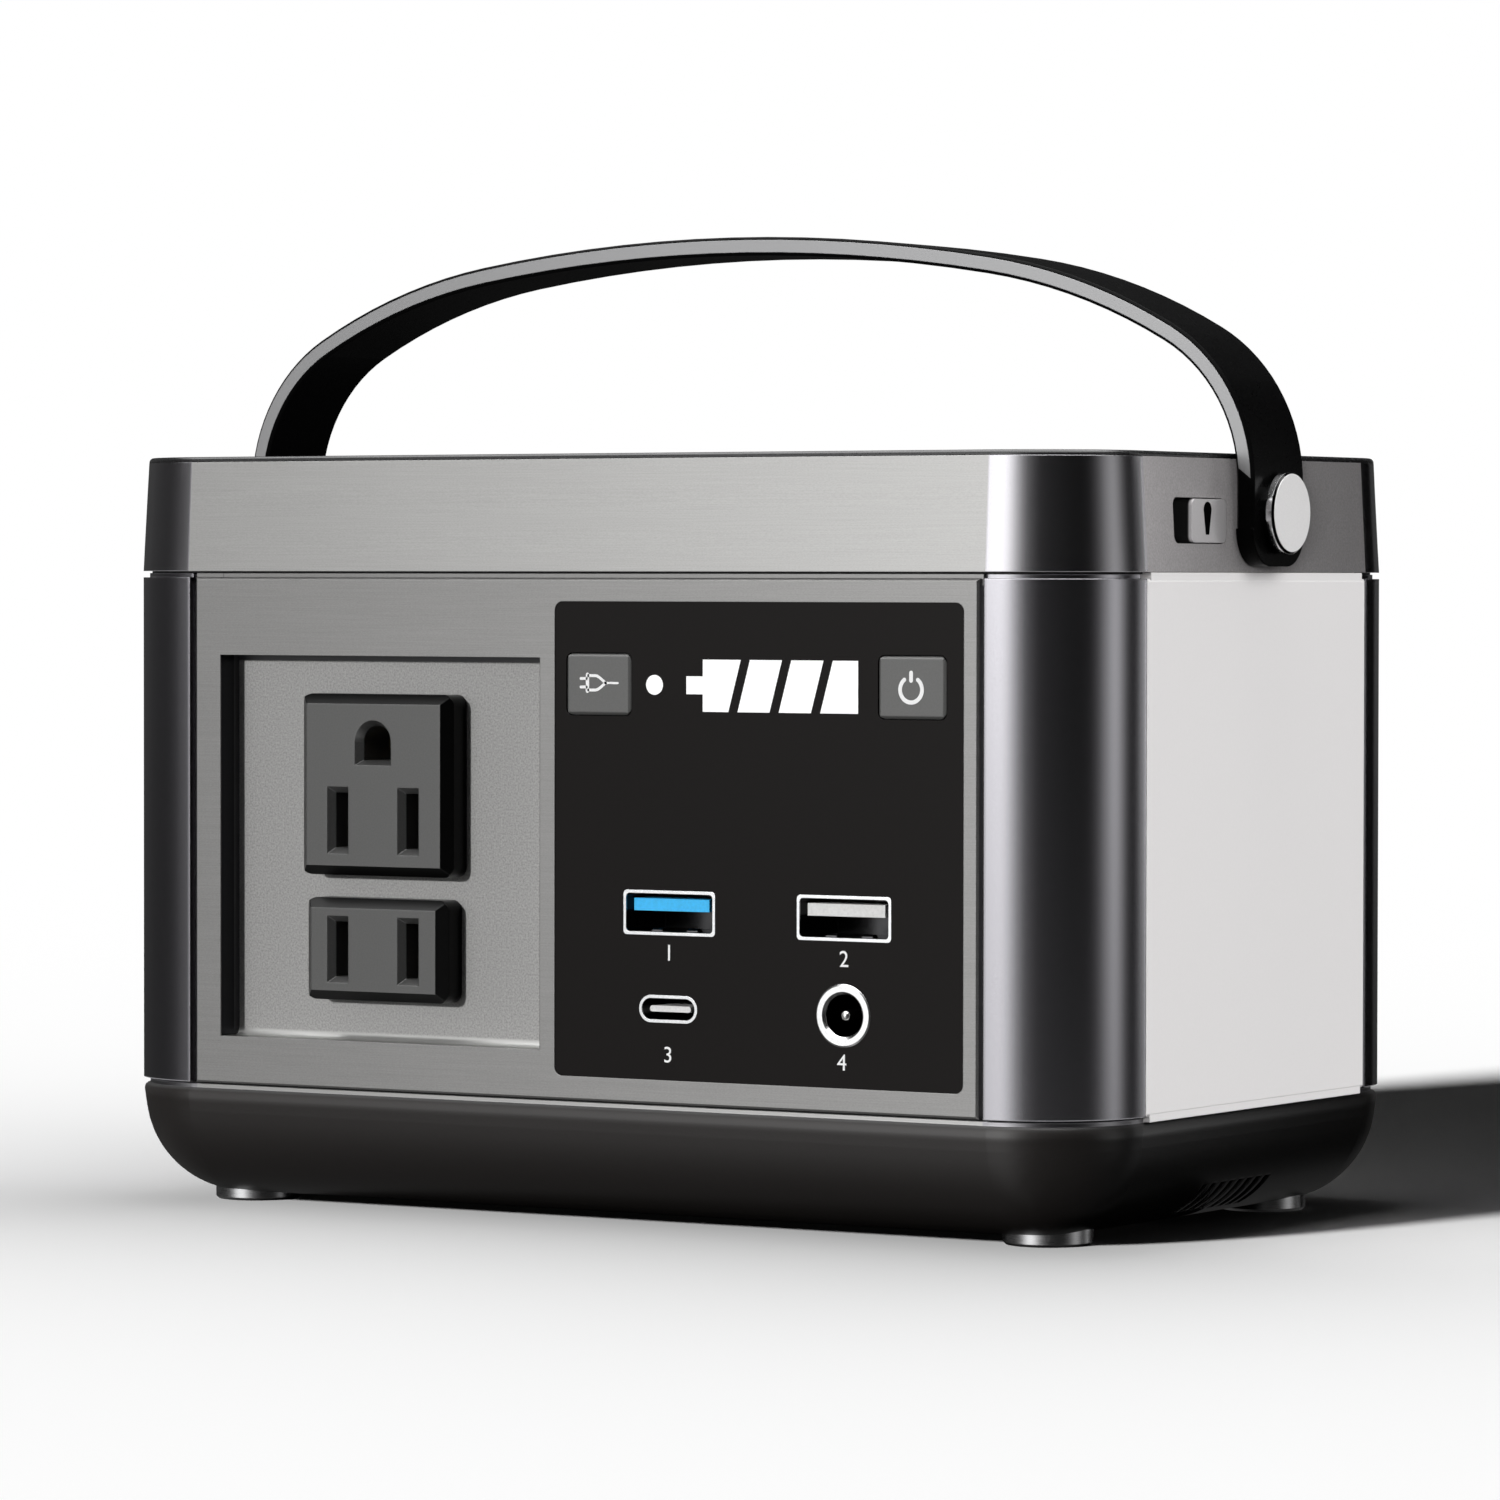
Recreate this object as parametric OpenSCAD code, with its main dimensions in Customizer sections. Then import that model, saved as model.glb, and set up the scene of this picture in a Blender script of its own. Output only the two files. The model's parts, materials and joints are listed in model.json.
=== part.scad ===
// Portable power station: a rounded housing on four disc feet with a sunken outlet pan, a control panel,
// an area lamp on its right side and a carrying bail. Front is -Y, the lamp side is +X, the floor is z = 0.

/* [Housing] */
// Width of the housing, along X
body_w = 172; // [168:1:178]
// Depth of the housing, along Y
body_d = 103; // [103:1:108]
// Radius of the four upright corners
corner_r = 16.5; // [16.5:0.1:17.5]
// Height of the base tray's rim above the floor
base_top = 18; // [18:0.1:18.4]
// Height of the lid's lower rim above the floor
lid_bottom = 96.25; // [96.25:0.25:98]
// Height of the lid ring, from its lower rim to the cap
lid_h = 16.45; // [16:0.05:18]
// Inward lean of the lid's sides over its height
lid_draft = 0.88; // [0.4:0.02:1]
// Thickness of the moulded walls
wall = 2.2; // [2:0.1:2.4]
// Height of the seams above and below the middle housing
seam_h = 0.95; // [0.8:0.05:1.2]
// Depth of the seams
seam_d = 1; // [0.8:0.1:1.2]

/* [Base tray] */
// Radius of the fillet between the sides and the bottom
base_fillet_r = 15.3; // [14.5:0.1:15.3]
// Lean of the base tray's sides, in degrees
base_lean = 8; // [6:0.5:8]
// Gap between the bottom and the floor
foot_gap = 1.3; // [1.2:0.1:1.6]
// Diameter of a foot
foot_dia = 13; // [12:0.5:13]
// Number of vent slots on each side
vent_count = 8; // [4:1:9]
// Distance between vent slots
vent_pitch = 2.77; // [2.5:0.01:3]
// Width of a vent slot
vent_w = 1.8; // [1.2:0.1:2]

/* [Handle] */
// Height of the handle's pivots above the floor
pivot_z = 104.9; // [104:0.1:105.5]
// Width of the handle strap
strap_w = 16.2; // [14:0.2:17]
// Thickness of the handle strap
strap_t = 2.8; // [2.4:0.1:3]
// Height of the strap's middle line above the floor at its apex
handle_apex = 145.4; // [143:0.1:150]
// Radius of the strap's lower bends
bend_r = 25.2; // [22:0.1:28]
// Radius of the strap's shoulders
shoulder_r = 90; // [80:1:100]

/* [Controls] */
// Width of the AC and power buttons
button_w = 11.1; // [10:0.1:11.2]
// Height of the AC and power buttons
button_h = 8.95; // [8:0.05:9.2]
// Travel of the AC and power buttons
button_travel = 0.6; // [0.4:0.1:0.7]
// Travel of the lamp's slide switch
switch_travel = 4.6; // [3:0.1:4.7]

/* [Hidden] */
$fn = 64;

// Small overlap that makes cuts run clear of the face they start from
eps = 0.5;

// Rounds a length, or each of a list of lengths, to a ten-thousandth of a millimetre
function microns(v) = is_list(v) ? [for (c = v) microns(c)] : round(v * 10000) / 10000;

// Housing levels and planes
side_x = body_w / 2;
front_y = -body_d / 2;
corner_x = body_w / 2 - corner_r;
corner_y = body_d / 2 - corner_r;
mid_bottom = base_top + seam_h;
mid_top = lid_bottom - seam_h;
gasket_t = 0.3;
lid_top = lid_bottom + lid_h;
cap_t = 0.8;
tray_rim_r = 0.9;
cap_top = lid_top + cap_t;
lid_lean = atan(lid_draft / lid_h);

// Column of posts that the long screws pass through
post_x = 69.5;
post_y = 33.2;
post_r = 4.5;
screw_r = 1.5;
screw_hole_r = 1.7;
screw_head_r = 2.8;
screw_grip = 9;
screw_bite = 0.02;

// Middle housing: rebates for the four panels, and the flange behind them
rebate = 2.4;
flange_t = 2.2;
mid_wall = rebate + flange_t;
front_rebate_x = 69.1;
side_rebate_y = 34.5;
panel_x = 68.2;
panel_y = 34.3;
panel_t = 2.3;
panel_face_y = front_y + rebate - panel_t;
flange_y = front_y + rebate;
flange_in_y = front_y + mid_wall;
flange_x = side_x - rebate;
flange_in_x = side_x - mid_wall;
window_x = 66;
window_z0 = 21;
window_z1 = 93.5;
side_window_y = 30;
panel_bevel = 0.35;
strip_x = panel_x + 0.3;
gasket_in = 0.35;
lens_tongue_y = 32.4;
lens_lip_y = 33.2;
lens_lip_inset = 0.05;
lens_cut_y = lens_lip_y + 0.2;

// Outlet pan in the front panel
pan_x0 = -63.5;
pan_x1 = -5.8;
pan_z0 = 26.1;
pan_z1 = 83.65;
pan_depth = 4.9;
pan_wall = 1.4;
pan_floor_y = panel_face_y + pan_depth;
pan_fillet = 1.1;
outlet_x = -35.5;
outlet_face_y = front_y;
outlet_bevel = 1.5;
outlet_corner_r = 1.6;
grounded_size = 27.1;
grounded_z = 64.4;
plain_w = 25.4;
plain_h = 15.3;
plain_z = 39.8;
blade_gap = 12.7;
blade_pocket_w = 3.85;
blade_pocket_h = 10.1;
blade_slot_w = 2.3;
blade_slot_h = 8.2;
pocket_depth = 1.35;
ground_mouth_r = 3.25;
ground_hole_r = 2.45;
ground_mouth_drop = 3.5;
ground_hole_drop = 2.75;
ground_sleeve_r = 2.65;
pocket_reach = 0.1;
grounded_blade_z = 59.1;
ground_pin_z = 70.85;

// Display panel and what sits in it
display_x0 = -3.2;
display_x1 = 65.8;
display_z0 = 22.45;
display_z1 = 91.9;
display_r = 1.3;
display_t = 1.5;
display_face_y = panel_face_y + 0.12;
display_rear_y = display_face_y + display_t;
ledge = 1;
button_z = 79.82;
ac_button_x = 4.45;
power_button_x = 57.35;
button_r = 1.1;
button_gap = 0.12;
button_face_y = front_y + 0.02;
status_x = 14.05;
status_r = 1.45;
gauge_x0 = 22.3;
gauge_pitch = 6.95;
gauge_z0 = 76;
gauge_z1 = 83.55;
gauge_slant = 2.1;
gauge_bar_w = 5.5;
gauge_x1 = 48.4;
board_y = -40;
board_t = 1.6;
usb_z = 46.75;
usb_x = [16.6, 46.1];
usb_w = 15.7;
usb_h = 6.5;
usb_c_x = 16.45;
usb_c_z = 32.8;
usb_c_w = 9.95;
usb_c_h = 4;
dc_x = 46;
dc_z = 32.85;
dc_r = 4.55;
dc_bore_r = 3.05;
dc_lip_bevel = 0.4;
dc_pin_r = 0.85;
dc_pin_inset = 1.1;
dc_barrel_out = 0.15;

// Inverter side
inverter_y = -24;
outlet_rear_y = inverter_y;
inverter_rear_y = inverter_y + board_t;

// Battery pack
cell_d = 18.4;
cell_len = 65;
cell_pitch = 19.5;
cell_cols = 6;
cell_rows = 2;
pack_x = 6;
pack_y = 22.25;
cell_z0 = 8.5;
holder_t = 6;
strip_t = 0.3;
pack_boss_r = 2.4;
pack_boss_x = 50;
pack_boss_y = 17.8;

// Fan
fan_size = 40;
fan_t = 10;
fan_y = 8;
fan_z = 50;
fan_x1 = -flange_in_x + 0.8;
fan_x2 = fan_x1 + fan_t;
fan_hub_r = 9;
fan_tip_r = 18.4;
fan_shaft_r = 1.2;
fan_hole = 16;
fan_screw_r = 1;
fan_boss_r = 2.6;

// Lid and handle
pivot_pad_x = side_x - 0.1;
washer_t = 0.35;
strap_in_x = side_x + 0.3;
strap_out_x = strap_in_x + strap_t;
leg_x = strap_in_x + strap_t / 2;
shoulder_end = 29.6;
crown_end = 9.2;
crown_r = microns(shoulder_r
    + (leg_x - bend_r - (shoulder_r - bend_r) * sin(shoulder_end)) / sin(crown_end));
crown_c = [0, handle_apex - crown_r];
shoulder_c = microns(crown_c + (crown_r - shoulder_r) * [sin(crown_end), cos(crown_end)]);
bend_c = [leg_x - bend_r,
          microns(shoulder_c[1] + (shoulder_r - bend_r) * cos(shoulder_end))];
strap_foot_z = pivot_z - 7.8;
strap_foot_r = 5.5;
foot_arc_z = strap_foot_z + strap_foot_r;
strap_bevel = 0.45;
trim_w = 1.9;
trim_depth = 0.9;
trim_end_in_z = 111.6;
trim_end_out_z = 109.5;
shoulder_pin_r = 2.5;
pin_gap = 0.06;
trim_fit = 0.02;
stud_cap_r = 6;
switch_y0 = -25.95;
switch_y1 = -10.35;
switch_z0 = 100.35;
switch_z1 = 106.95;
slot_corner_r = 1.15;
switch_z = (switch_z0 + switch_z1) / 2;
knob_w = 10.5;
knob_clear = 0.15;
knob_face_x = side_x - 0.05;

// ---------- shared shapes ----------

// Rounded rectangle centred on the origin
module round_rect(w, d, r) {
    square([w - 2 * r, d], center = true);
    square([w, d - 2 * r], center = true);
    for (sx = [-1, 1], sy = [-1, 1])
        translate([sx * (w / 2 - r), sy * (d / 2 - r)])
            circle(r = r);
}

// Upright prism of the housing's outline, moved in by inset
module outline_slab(inset, z0, z1) {
    translate([0, 0, z0])
        linear_extrude(z1 - z0)
            round_rect(body_w - 2 * inset, body_d - 2 * inset, corner_r - inset);
}

// Extrudes a shape drawn in X and Z from plane y0 back to plane y1
module along_y(y0, y1) {
    translate([0, y1, 0])
        rotate([90, 0, 0])
            linear_extrude(y1 - y0)
                children();
}

// Extrudes a shape drawn in Y and Z from plane x0 to plane x1
module along_x(x0, x1) {
    translate([x0, 0, 0])
        rotate([90, 0, 90])
            linear_extrude(x1 - x0)
                children();
}

// Box between two corners
module block(lo, hi) {
    translate(lo)
        cube(hi - lo);
}

// Cylinder along X between two planes
module rod_x(r, x0, x1, y, z) {
    translate([x0, y, z])
        rotate([0, 90, 0])
            cylinder(r = r, h = x1 - x0);
}

// Cylinder along Y between two planes
module rod_y(r, y0, y1, x, z) {
    translate([x, y0, z])
        rotate([-90, 0, 0])
            cylinder(r = r, h = y1 - y0);
}

// Cylinder along Z between two levels
module rod_z(r, z0, z1, x, y) {
    translate([x, y, z0])
        cylinder(r = r, h = z1 - z0);
}

// Children at the four screw posts
module at_posts() {
    for (sx = [-1, 1], sy = [-1, 1])
        translate([sx * post_x, sy * post_y, 0])
            children();
}

// Cross-section of a plate from plane a (outer face, bevelled) to plane b, between lo and hi across
module bevel_section(lo, hi, a, b, bevel) {
    s = sign(b - a);
    polygon([
        [lo + bevel, a], [hi - bevel, a], [hi, a + s * bevel],
        [hi, b], [lo, b], [lo, a + s * bevel]
    ]);
}

// Front plate with bevelled face edges, in X and Z, from its face back to rear_y
module bevel_plate_y(x0, x1, z0, z1, face_y, rear_y, bevel) {
    intersection() {
        translate([0, 0, z0])
            linear_extrude(z1 - z0)
                bevel_section(x0, x1, face_y, rear_y, bevel);
        translate([x0, 0, 0])
            rotate([90, 0, 90])
                linear_extrude(x1 - x0)
                    mirror([1, -1])
                        bevel_section(z0, z1, face_y, rear_y, bevel);
    }
}

// The same plate on the right side, in Y and Z
module bevel_plate_x(y0, y1, z0, z1, face_x, rear_x, bevel) {
    intersection() {
        translate([0, 0, z0])
            linear_extrude(z1 - z0)
                mirror([1, -1])
                    bevel_section(y0, y1, face_x, rear_x, bevel);
        translate([0, y1, 0])
            rotate([90, 0, 0])
                linear_extrude(y1 - y0)
                    mirror([1, -1])
                        bevel_section(z0, z1, face_x, rear_x, bevel);
    }
}

// ---------- base tray and feet ----------

// Half profile of the tray at a corner, inset by t: a leaning side that runs into a round bottom
module tray_profile(t, top) {
    rim_r = t > 0 ? 0.05 : tray_rim_r;
    arc_r = base_fillet_r - t;
    arc_z = foot_gap + base_fillet_r;
    lean_z = arc_z - base_fillet_r * sin(base_lean);
    arc_x = corner_r - tan(base_lean) * (base_top - lean_z) - base_fillet_r * cos(base_lean);
    side_z = arc_z - arc_r * sin(base_lean);
    side_r = arc_x + arc_r * cos(base_lean);
    square_h = top - arc_z + arc_r;
    translate([0, arc_z - arc_r])
        square([arc_x, square_h]);
    rim_x = side_r + tan(base_lean) * (top - rim_r - side_z) - rim_r / cos(base_lean);
    polygon([
        [0, side_z], [side_r, side_z],
        [rim_x + rim_r * cos(base_lean), top - rim_r - rim_r * sin(base_lean)],
        [rim_x, top - rim_r], [rim_x, top], [0, top]
    ]);
    translate([rim_x, top - rim_r])
        circle(r = rim_r);
    intersection() {
        translate([arc_x, arc_z])
            circle(r = arc_r, $fn = 96);
        translate([arc_x, arc_z - arc_r])
            square([arc_r, side_z - arc_z + arc_r]);
    }
}

// Profile across the whole tray, with its two corner centres half_span each side of the middle
module tray_section(half_span, t, top) {
    translate([-half_span, foot_gap + t])
        square([2 * half_span, top - foot_gap - t]);
    for (m = [0, 1])
        mirror([m, 0])
            translate([half_span, 0])
                tray_profile(t, top);
}

// Solid tray, its whole surface moved in by t
module tray_solid(t, top) {
    along_x(-corner_x, corner_x)
        tray_section(corner_y, t, top);
    along_y(-corner_y, corner_y)
        tray_section(corner_x, t, top);
    for (sx = [-1, 1], sy = [-1, 1])
        translate([sx * corner_x, sy * corner_y, 0])
            rotate_extrude()
                tray_profile(t, top);
}

vent_x0 = 77.2;
vent_x1 = 82.6;
foot_pocket_top = 3.6;
foot_r = foot_dia / 2;

module vent_cuts() {
    for (i = [0 : vent_count - 1], s = [-1, 1])
        translate([s * (vent_x0 + vent_x1) / 2, (i - (vent_count - 1) / 2) * vent_pitch, 7])
            cube([vent_x1 - vent_x0, vent_w, 16], center = true);
}

// Open-topped tray with the foot pockets, screw bosses, pack standoffs and vents
module base_shell() {
    color("#3a3a3c")
        difference() {
            union() {
                difference() {
                    union() {
                        tray_solid(0, base_top);
                        outline_slab(seam_d, base_top - 1, mid_bottom - gasket_t);
                    }
                    tray_solid(wall, base_top - 1.4);
                    outline_slab(mid_wall, base_top - 2, mid_bottom + eps);
                }
                intersection() {
                    tray_solid(0, base_top);
                    at_posts()
                        cylinder(r = foot_r + 2, h = foot_pocket_top + wall);
                }
                at_posts()
                    rod_z(post_r, foot_pocket_top + 1, mid_bottom, 0, 0);
                for (sx = [-1, 1], sy = [-1, 1])
                    rod_z(pack_boss_r, foot_gap + wall - 0.2, cell_z0,
                          pack_x + sx * pack_boss_x, pack_y + sy * pack_boss_y);
            }
            at_posts() {
                rod_z(foot_r + 0.05, -eps, foot_pocket_top, 0, 0);
                rod_z(screw_hole_r, 0, mid_bottom + eps, 0, 0);
            }
            vent_cuts();
            block([flange_x - eps, -lens_cut_y, base_top + 0.05],
                  [side_x, lens_cut_y, mid_bottom + eps]);
        }
}

// Disc foot with a countersunk seat for its long screw
module foot(sx, sy) {
    color("#8d8c8e")
        translate([sx * post_x, sy * post_y, 0])
            difference() {
                rotate_extrude()
                    polygon([
                        [0, 0], [foot_r - 0.4, 0], [foot_r, 0.4],
                        [foot_r, foot_pocket_top], [0, foot_pocket_top]
                    ]);
                rod_z(screw_head_r + 0.3, -eps, 2, 0, 0);
                rod_z(screw_hole_r, 0, foot_pocket_top + eps, 0, 0);
            }
}

module foot_front_left() {
    foot(-1, -1);
}

module foot_front_right() {
    foot(1, -1);
}

module foot_rear_left() {
    foot(-1, 1);
}

module foot_rear_right() {
    foot(1, 1);
}

// Four long screws that clamp feet, tray, middle housing and lid together
module case_screws() {
    color("#b9bcc0")
        at_posts()
            difference() {
                union() {
                    rod_z(screw_head_r, 0.4, 2, 0, 0);
                    rod_z(screw_r, 1.5, lid_bottom + screw_grip, 0, 0);
                }
                for (a = [0, 90])
                    rotate(a)
                        translate([-1.6, -0.35, 0])
                            cube([3.2, 0.7, 1.2]);
            }
}

// ---------- middle housing, gaskets and panels ----------

// Outlines of the flange windows on the long and the short sides
module long_window() {
    translate([-window_x, window_z0])
        square([2 * window_x, window_z1 - window_z0]);
}

module short_window() {
    translate([-side_window_y, window_z0 + 2])
        square([2 * side_window_y, window_z1 - window_z0 - 4]);
}

// Moulded ring: four corner columns joined by rails, with a rebate and a window on each side
module mid_housing() {
    color("#5b5a5e")
        difference() {
            union() {
                difference() {
                    union() {
                        outline_slab(0, mid_bottom, mid_top);
                        outline_slab(seam_d, mid_top - 1, lid_bottom - gasket_t);
                    }
                    outline_slab(mid_wall, mid_bottom - eps, lid_bottom + eps);
                }
                at_posts()
                    rod_z(post_r, mid_bottom, lid_bottom - gasket_t, 0, 0);
                for (sx = [-1, 1], sy = [-1, 1])
                    mirror([sx < 0 ? 1 : 0, 0])
                        mirror([0, sy < 0 ? 1 : 0]) {
                            block([post_x, post_y - 1, mid_bottom],
                                  [side_x - mid_wall + 0.4, post_y + 1, mid_top]);
                            block([post_x - 1, post_y, mid_bottom],
                                  [post_x + 1, -flange_in_y + 0.4, mid_top]);
                        }
            }
            at_posts()
                rod_z(screw_hole_r, 0, lid_bottom + eps, 0, 0);
            for (s = [0, 1])
                mirror([0, s]) {
                    block([-front_rebate_x, front_y - eps, mid_bottom - eps],
                          [front_rebate_x, flange_y, lid_bottom + eps]);
                    along_y(front_y, flange_in_y + eps)
                        long_window();
                }
            for (s = [0, 1])
                mirror([s, 0]) {
                    block([flange_x, -side_rebate_y, mid_bottom - eps],
                          [side_x + eps, side_rebate_y, lid_bottom + eps]);
                    along_x(flange_in_x - eps, side_x)
                        short_window();
                }
        }
}

module gasket_ring(z0, z1) {
    difference() {
        outline_slab(seam_d + gasket_in, z0, z1);
        outline_slab(mid_wall - 0.6, z0 - eps, z1 + eps);
        block([flange_x - eps, -lens_cut_y, z0 - eps],
              [side_x, lens_cut_y, z1 + eps]);
    }
}

module lower_gasket() {
    color("#141414")
        gasket_ring(mid_bottom - gasket_t, mid_bottom);
}

module upper_gasket() {
    color("#141414")
        gasket_ring(lid_bottom - gasket_t, lid_bottom);
}

// Rounded opening of the display, moved in by inset
module display_outline(inset) {
    translate([(display_x0 + display_x1) / 2, (display_z0 + display_z1) / 2])
        round_rect(display_x1 - display_x0 - 2 * inset,
                   display_z1 - display_z0 - 2 * inset, display_r);
}

// Concave fillet along one inner edge of the pan, drawn in the quadrant that the corner opens to
module cove_section() {
    difference() {
        translate([-0.3, -0.3])
            square(pan_fillet + 0.3);
        translate([pan_fillet, pan_fillet])
            circle(r = pan_fillet);
    }
}

// Silver plate: bevelled face, display opening with a ledge, and the sunken outlet pan
module front_panel() {
    color("#a6a6a5")
        difference() {
            union() {
                bevel_plate_y(-panel_x, panel_x, mid_bottom, mid_top,
                              panel_face_y, flange_y, panel_bevel);
                block([-strip_x, front_y + seam_d, mid_top - 1],
                      [strip_x, flange_y, lid_bottom - gasket_t]);
                block([pan_x0 - pan_wall, flange_y - 1, pan_z0 - pan_wall],
                      [pan_x1 + pan_wall, pan_floor_y + pan_wall, pan_z1 + pan_wall]);
            }
            difference() {
                block([pan_x0, front_y - eps, pan_z0], [pan_x1, pan_floor_y, pan_z1]);
                translate([pan_x0, pan_floor_y, pan_z0])
                    rotate([90, 0, 90])
                        mirror([1, 0])
                            linear_extrude(pan_x1 - pan_x0)
                                cove_section();
            }
            along_y(pan_floor_y - eps, pan_floor_y + pan_wall + eps) {
                translate([outlet_x, grounded_z])
                    square(grounded_size - 2, center = true);
                translate([outlet_x, plain_z])
                    square([plain_w - 2, plain_h - 2], center = true);
            }
            along_y(front_y - eps, display_rear_y)
                display_outline(0);
            along_y(front_y - eps, flange_y + eps)
                display_outline(ledge);
        }
}

// Plain plate that closes the rear, seated as the front panel is
module rear_panel() {
    color("#a6a6a5")
        mirror([0, 1, 0]) {
            bevel_plate_y(-panel_x, panel_x, mid_bottom, mid_top,
                          panel_face_y, flange_y, panel_bevel);
            block([-strip_x, front_y + seam_d, mid_top - 1],
                  [strip_x, flange_y, lid_bottom - gasket_t]);
        }
}

grille_pitch = 3.6;
grille_slot_h = 1.8;
grille_r = 18;
jack_y = -22;
jack_z = 82;
jack_r = 4;
jack_bore_r = 2.9;

// Left side plate: a round field of grille slots over the fan, bosses for it, and the charging jack's hole
module side_panel_left() {
    color("#58575b")
        mirror([1, 0, 0])
            difference() {
                union() {
                    bevel_plate_x(-panel_y, panel_y, mid_bottom, mid_top,
                                  side_x - 0.1, flange_x, panel_bevel);
                    block([flange_x, -panel_y + 0.3, mid_top - 1],
                          [side_x - seam_d, panel_y - 0.3, lid_bottom - gasket_t]);
                    for (sy = [-1, 1], sz = [-1, 1])
                        rod_x(fan_boss_r, -fan_x1, side_x - 1, fan_y + sy * fan_hole, fan_z + sz * fan_hole);
                }
                for (i = [-4 : 4]) {
                    half = sqrt(grille_r * grille_r - pow(i * grille_pitch, 2));
                    block([flange_x - eps, fan_y - half, fan_z + i * grille_pitch - grille_slot_h / 2],
                          [side_x + eps, fan_y + half, fan_z + i * grille_pitch + grille_slot_h / 2]);
                }
                for (sy = [-1, 1], sz = [-1, 1])
                    rod_x(fan_screw_r, -fan_x1 - eps, side_x - 1.2,
                          fan_y + sy * fan_hole, fan_z + sz * fan_hole);
                rod_x(jack_r + 0.05, flange_x - eps, side_x + eps, jack_y, jack_z);
            }
}

// Frosted cover of the area lamp: the whole right side, with tongues under the lid and behind the tray's rim
module lamp_lens() {
    color("#dedddd")
        union() {
            bevel_plate_x(-panel_y, panel_y, mid_bottom, mid_top, side_x, flange_x, panel_bevel);
            block([flange_x, -lens_tongue_y, mid_top - 1],
                  [side_x - seam_d, lens_tongue_y, lid_bottom]);
            block([flange_x, -lens_tongue_y, base_top + 0.05],
                  [side_x - seam_d, lens_tongue_y, mid_bottom + 1]);
            block([flange_x + 0.1, -lens_lip_y, base_top + 0.1],
                  [side_x - lens_lip_inset, lens_lip_y, lid_bottom - 0.05]);
        }
}

lamp_board_t = 1.2;
lamp_board_y = side_window_y + 1.9;
led_cols = 4;
led_rows = 8;
led_size = [0.9, 3.5, 2.8];
led_pitch = [15, 8.4];
led_z0 = 28;

module lamp_board() {
    color("#e8e6df")
        block([flange_in_x - lamp_board_t, -lamp_board_y, window_z0 + 0.8],
              [flange_in_x, lamp_board_y, window_z1 - 0.8]);
}

module lamp_leds() {
    color("#f4e27a")
        for (i = [0 : led_cols - 1], j = [0 : led_rows - 1])
            translate([flange_in_x,
                       (i - (led_cols - 1) / 2) * led_pitch[0] - led_size[1] / 2,
                       led_z0 + j * led_pitch[1]])
                cube(led_size);
}

// ---------- display, buttons and ports ----------

// One slanted bar of the battery gauge; the first is square on its left and carries the cell's nose
module gauge_bar(i) {
    left = gauge_x0 + i * gauge_pitch;
    top_left = i == 0 ? left : left + 1.05;
    low_left = i == 0 ? left : left - gauge_slant / 2;
    top_right = i == 3 ? gauge_x1 : left + gauge_bar_w + 0.95;
    low_right = i == 3 ? gauge_x1 : left + gauge_bar_w + 0.95 - gauge_slant;
    polygon([
        [low_left, gauge_z0], [low_right, gauge_z0], [top_right, gauge_z1], [top_left, gauge_z1]
    ]);
    if (i == 0)
        translate([left - 2.8, button_z - 1.3])
            square([3.2, 2.6]);
}

module button_outline(x, grow) {
    translate([x, button_z])
        round_rect(button_w + 2 * grow, button_h + 2 * grow, button_r);
}

module usb_a_outline(grow) {
    round_rect(usb_w + 2 * grow, usb_h + 2 * grow, 0.6);
}

module usb_c_outline(grow) {
    round_rect(usb_c_w + 2 * grow, usb_c_h + 2 * grow, usb_c_h / 2 + grow - 0.01);
}

// Black face plate: an opening for each control and port, and four bosses for the control board
module display_panel() {
    color("#201e1e")
        difference() {
            union() {
                display_face();
                at_board_screws()
                    rod_y(2.2, display_rear_y - 0.3, board_y, 0, 0);
            }
            at_board_screws()
                rod_y(board_screw_r - screw_bite, board_y - 5, board_y + eps, 0, 0);
        }
}

board_screw_r = 1;

module at_board_screws() {
    for (x = [0.5, 61.8], z = [26.5, 87.6])
        translate([x, 0, z])
            children();
}

module board_screws() {
    color("#b9bcc0")
        at_board_screws() {
            rod_y(board_screw_r - screw_bite, board_y - 4.5, board_y + board_t, 0, 0);
            rod_y(1.9, board_y + board_t, board_y + board_t + 1.3, 0, 0);
        }
}

module display_face() {
    along_y(display_face_y, display_rear_y)
        difference() {
            display_outline(0);
            for (x = [ac_button_x, power_button_x])
                button_outline(x, button_gap);
            for (i = [0 : 3])
                gauge_bar(i);
            translate([status_x, button_z])
                circle(r = status_r);
            for (x = usb_x)
                translate([x, usb_z])
                    usb_a_outline(0);
            translate([usb_c_x, usb_c_z])
                usb_c_outline(0);
            translate([dc_x, dc_z])
                circle(r = dc_r);
        }
}

module battery_gauge() {
    color("white")
        for (i = [0 : 3])
            along_y(display_face_y - 0.02, display_rear_y + 0.6)
                gauge_bar(i);
}

module gauge_leds() {
    color("#f2f2c8") {
        for (i = [0 : 3])
            translate([gauge_x0 + 1.6 + i * gauge_pitch, board_y - 1, button_z - 0.8])
                cube([2, 1, 1.6]);
        translate([status_x - 1, board_y - 1, button_z - 0.8])
            cube([2, 1, 1.6]);
    }
}

module status_light() {
    color("white")
        rod_y(status_r, display_face_y - 0.02, display_rear_y + 0.6, status_x, button_z);
}

flange_gap = 0.1;
button_flange = 0.7;
button_bevel = 0.4;
tact_h = 3.5;
tact_bore_depth = button_travel + 0.9;
plunger_r = 1.6;

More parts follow.
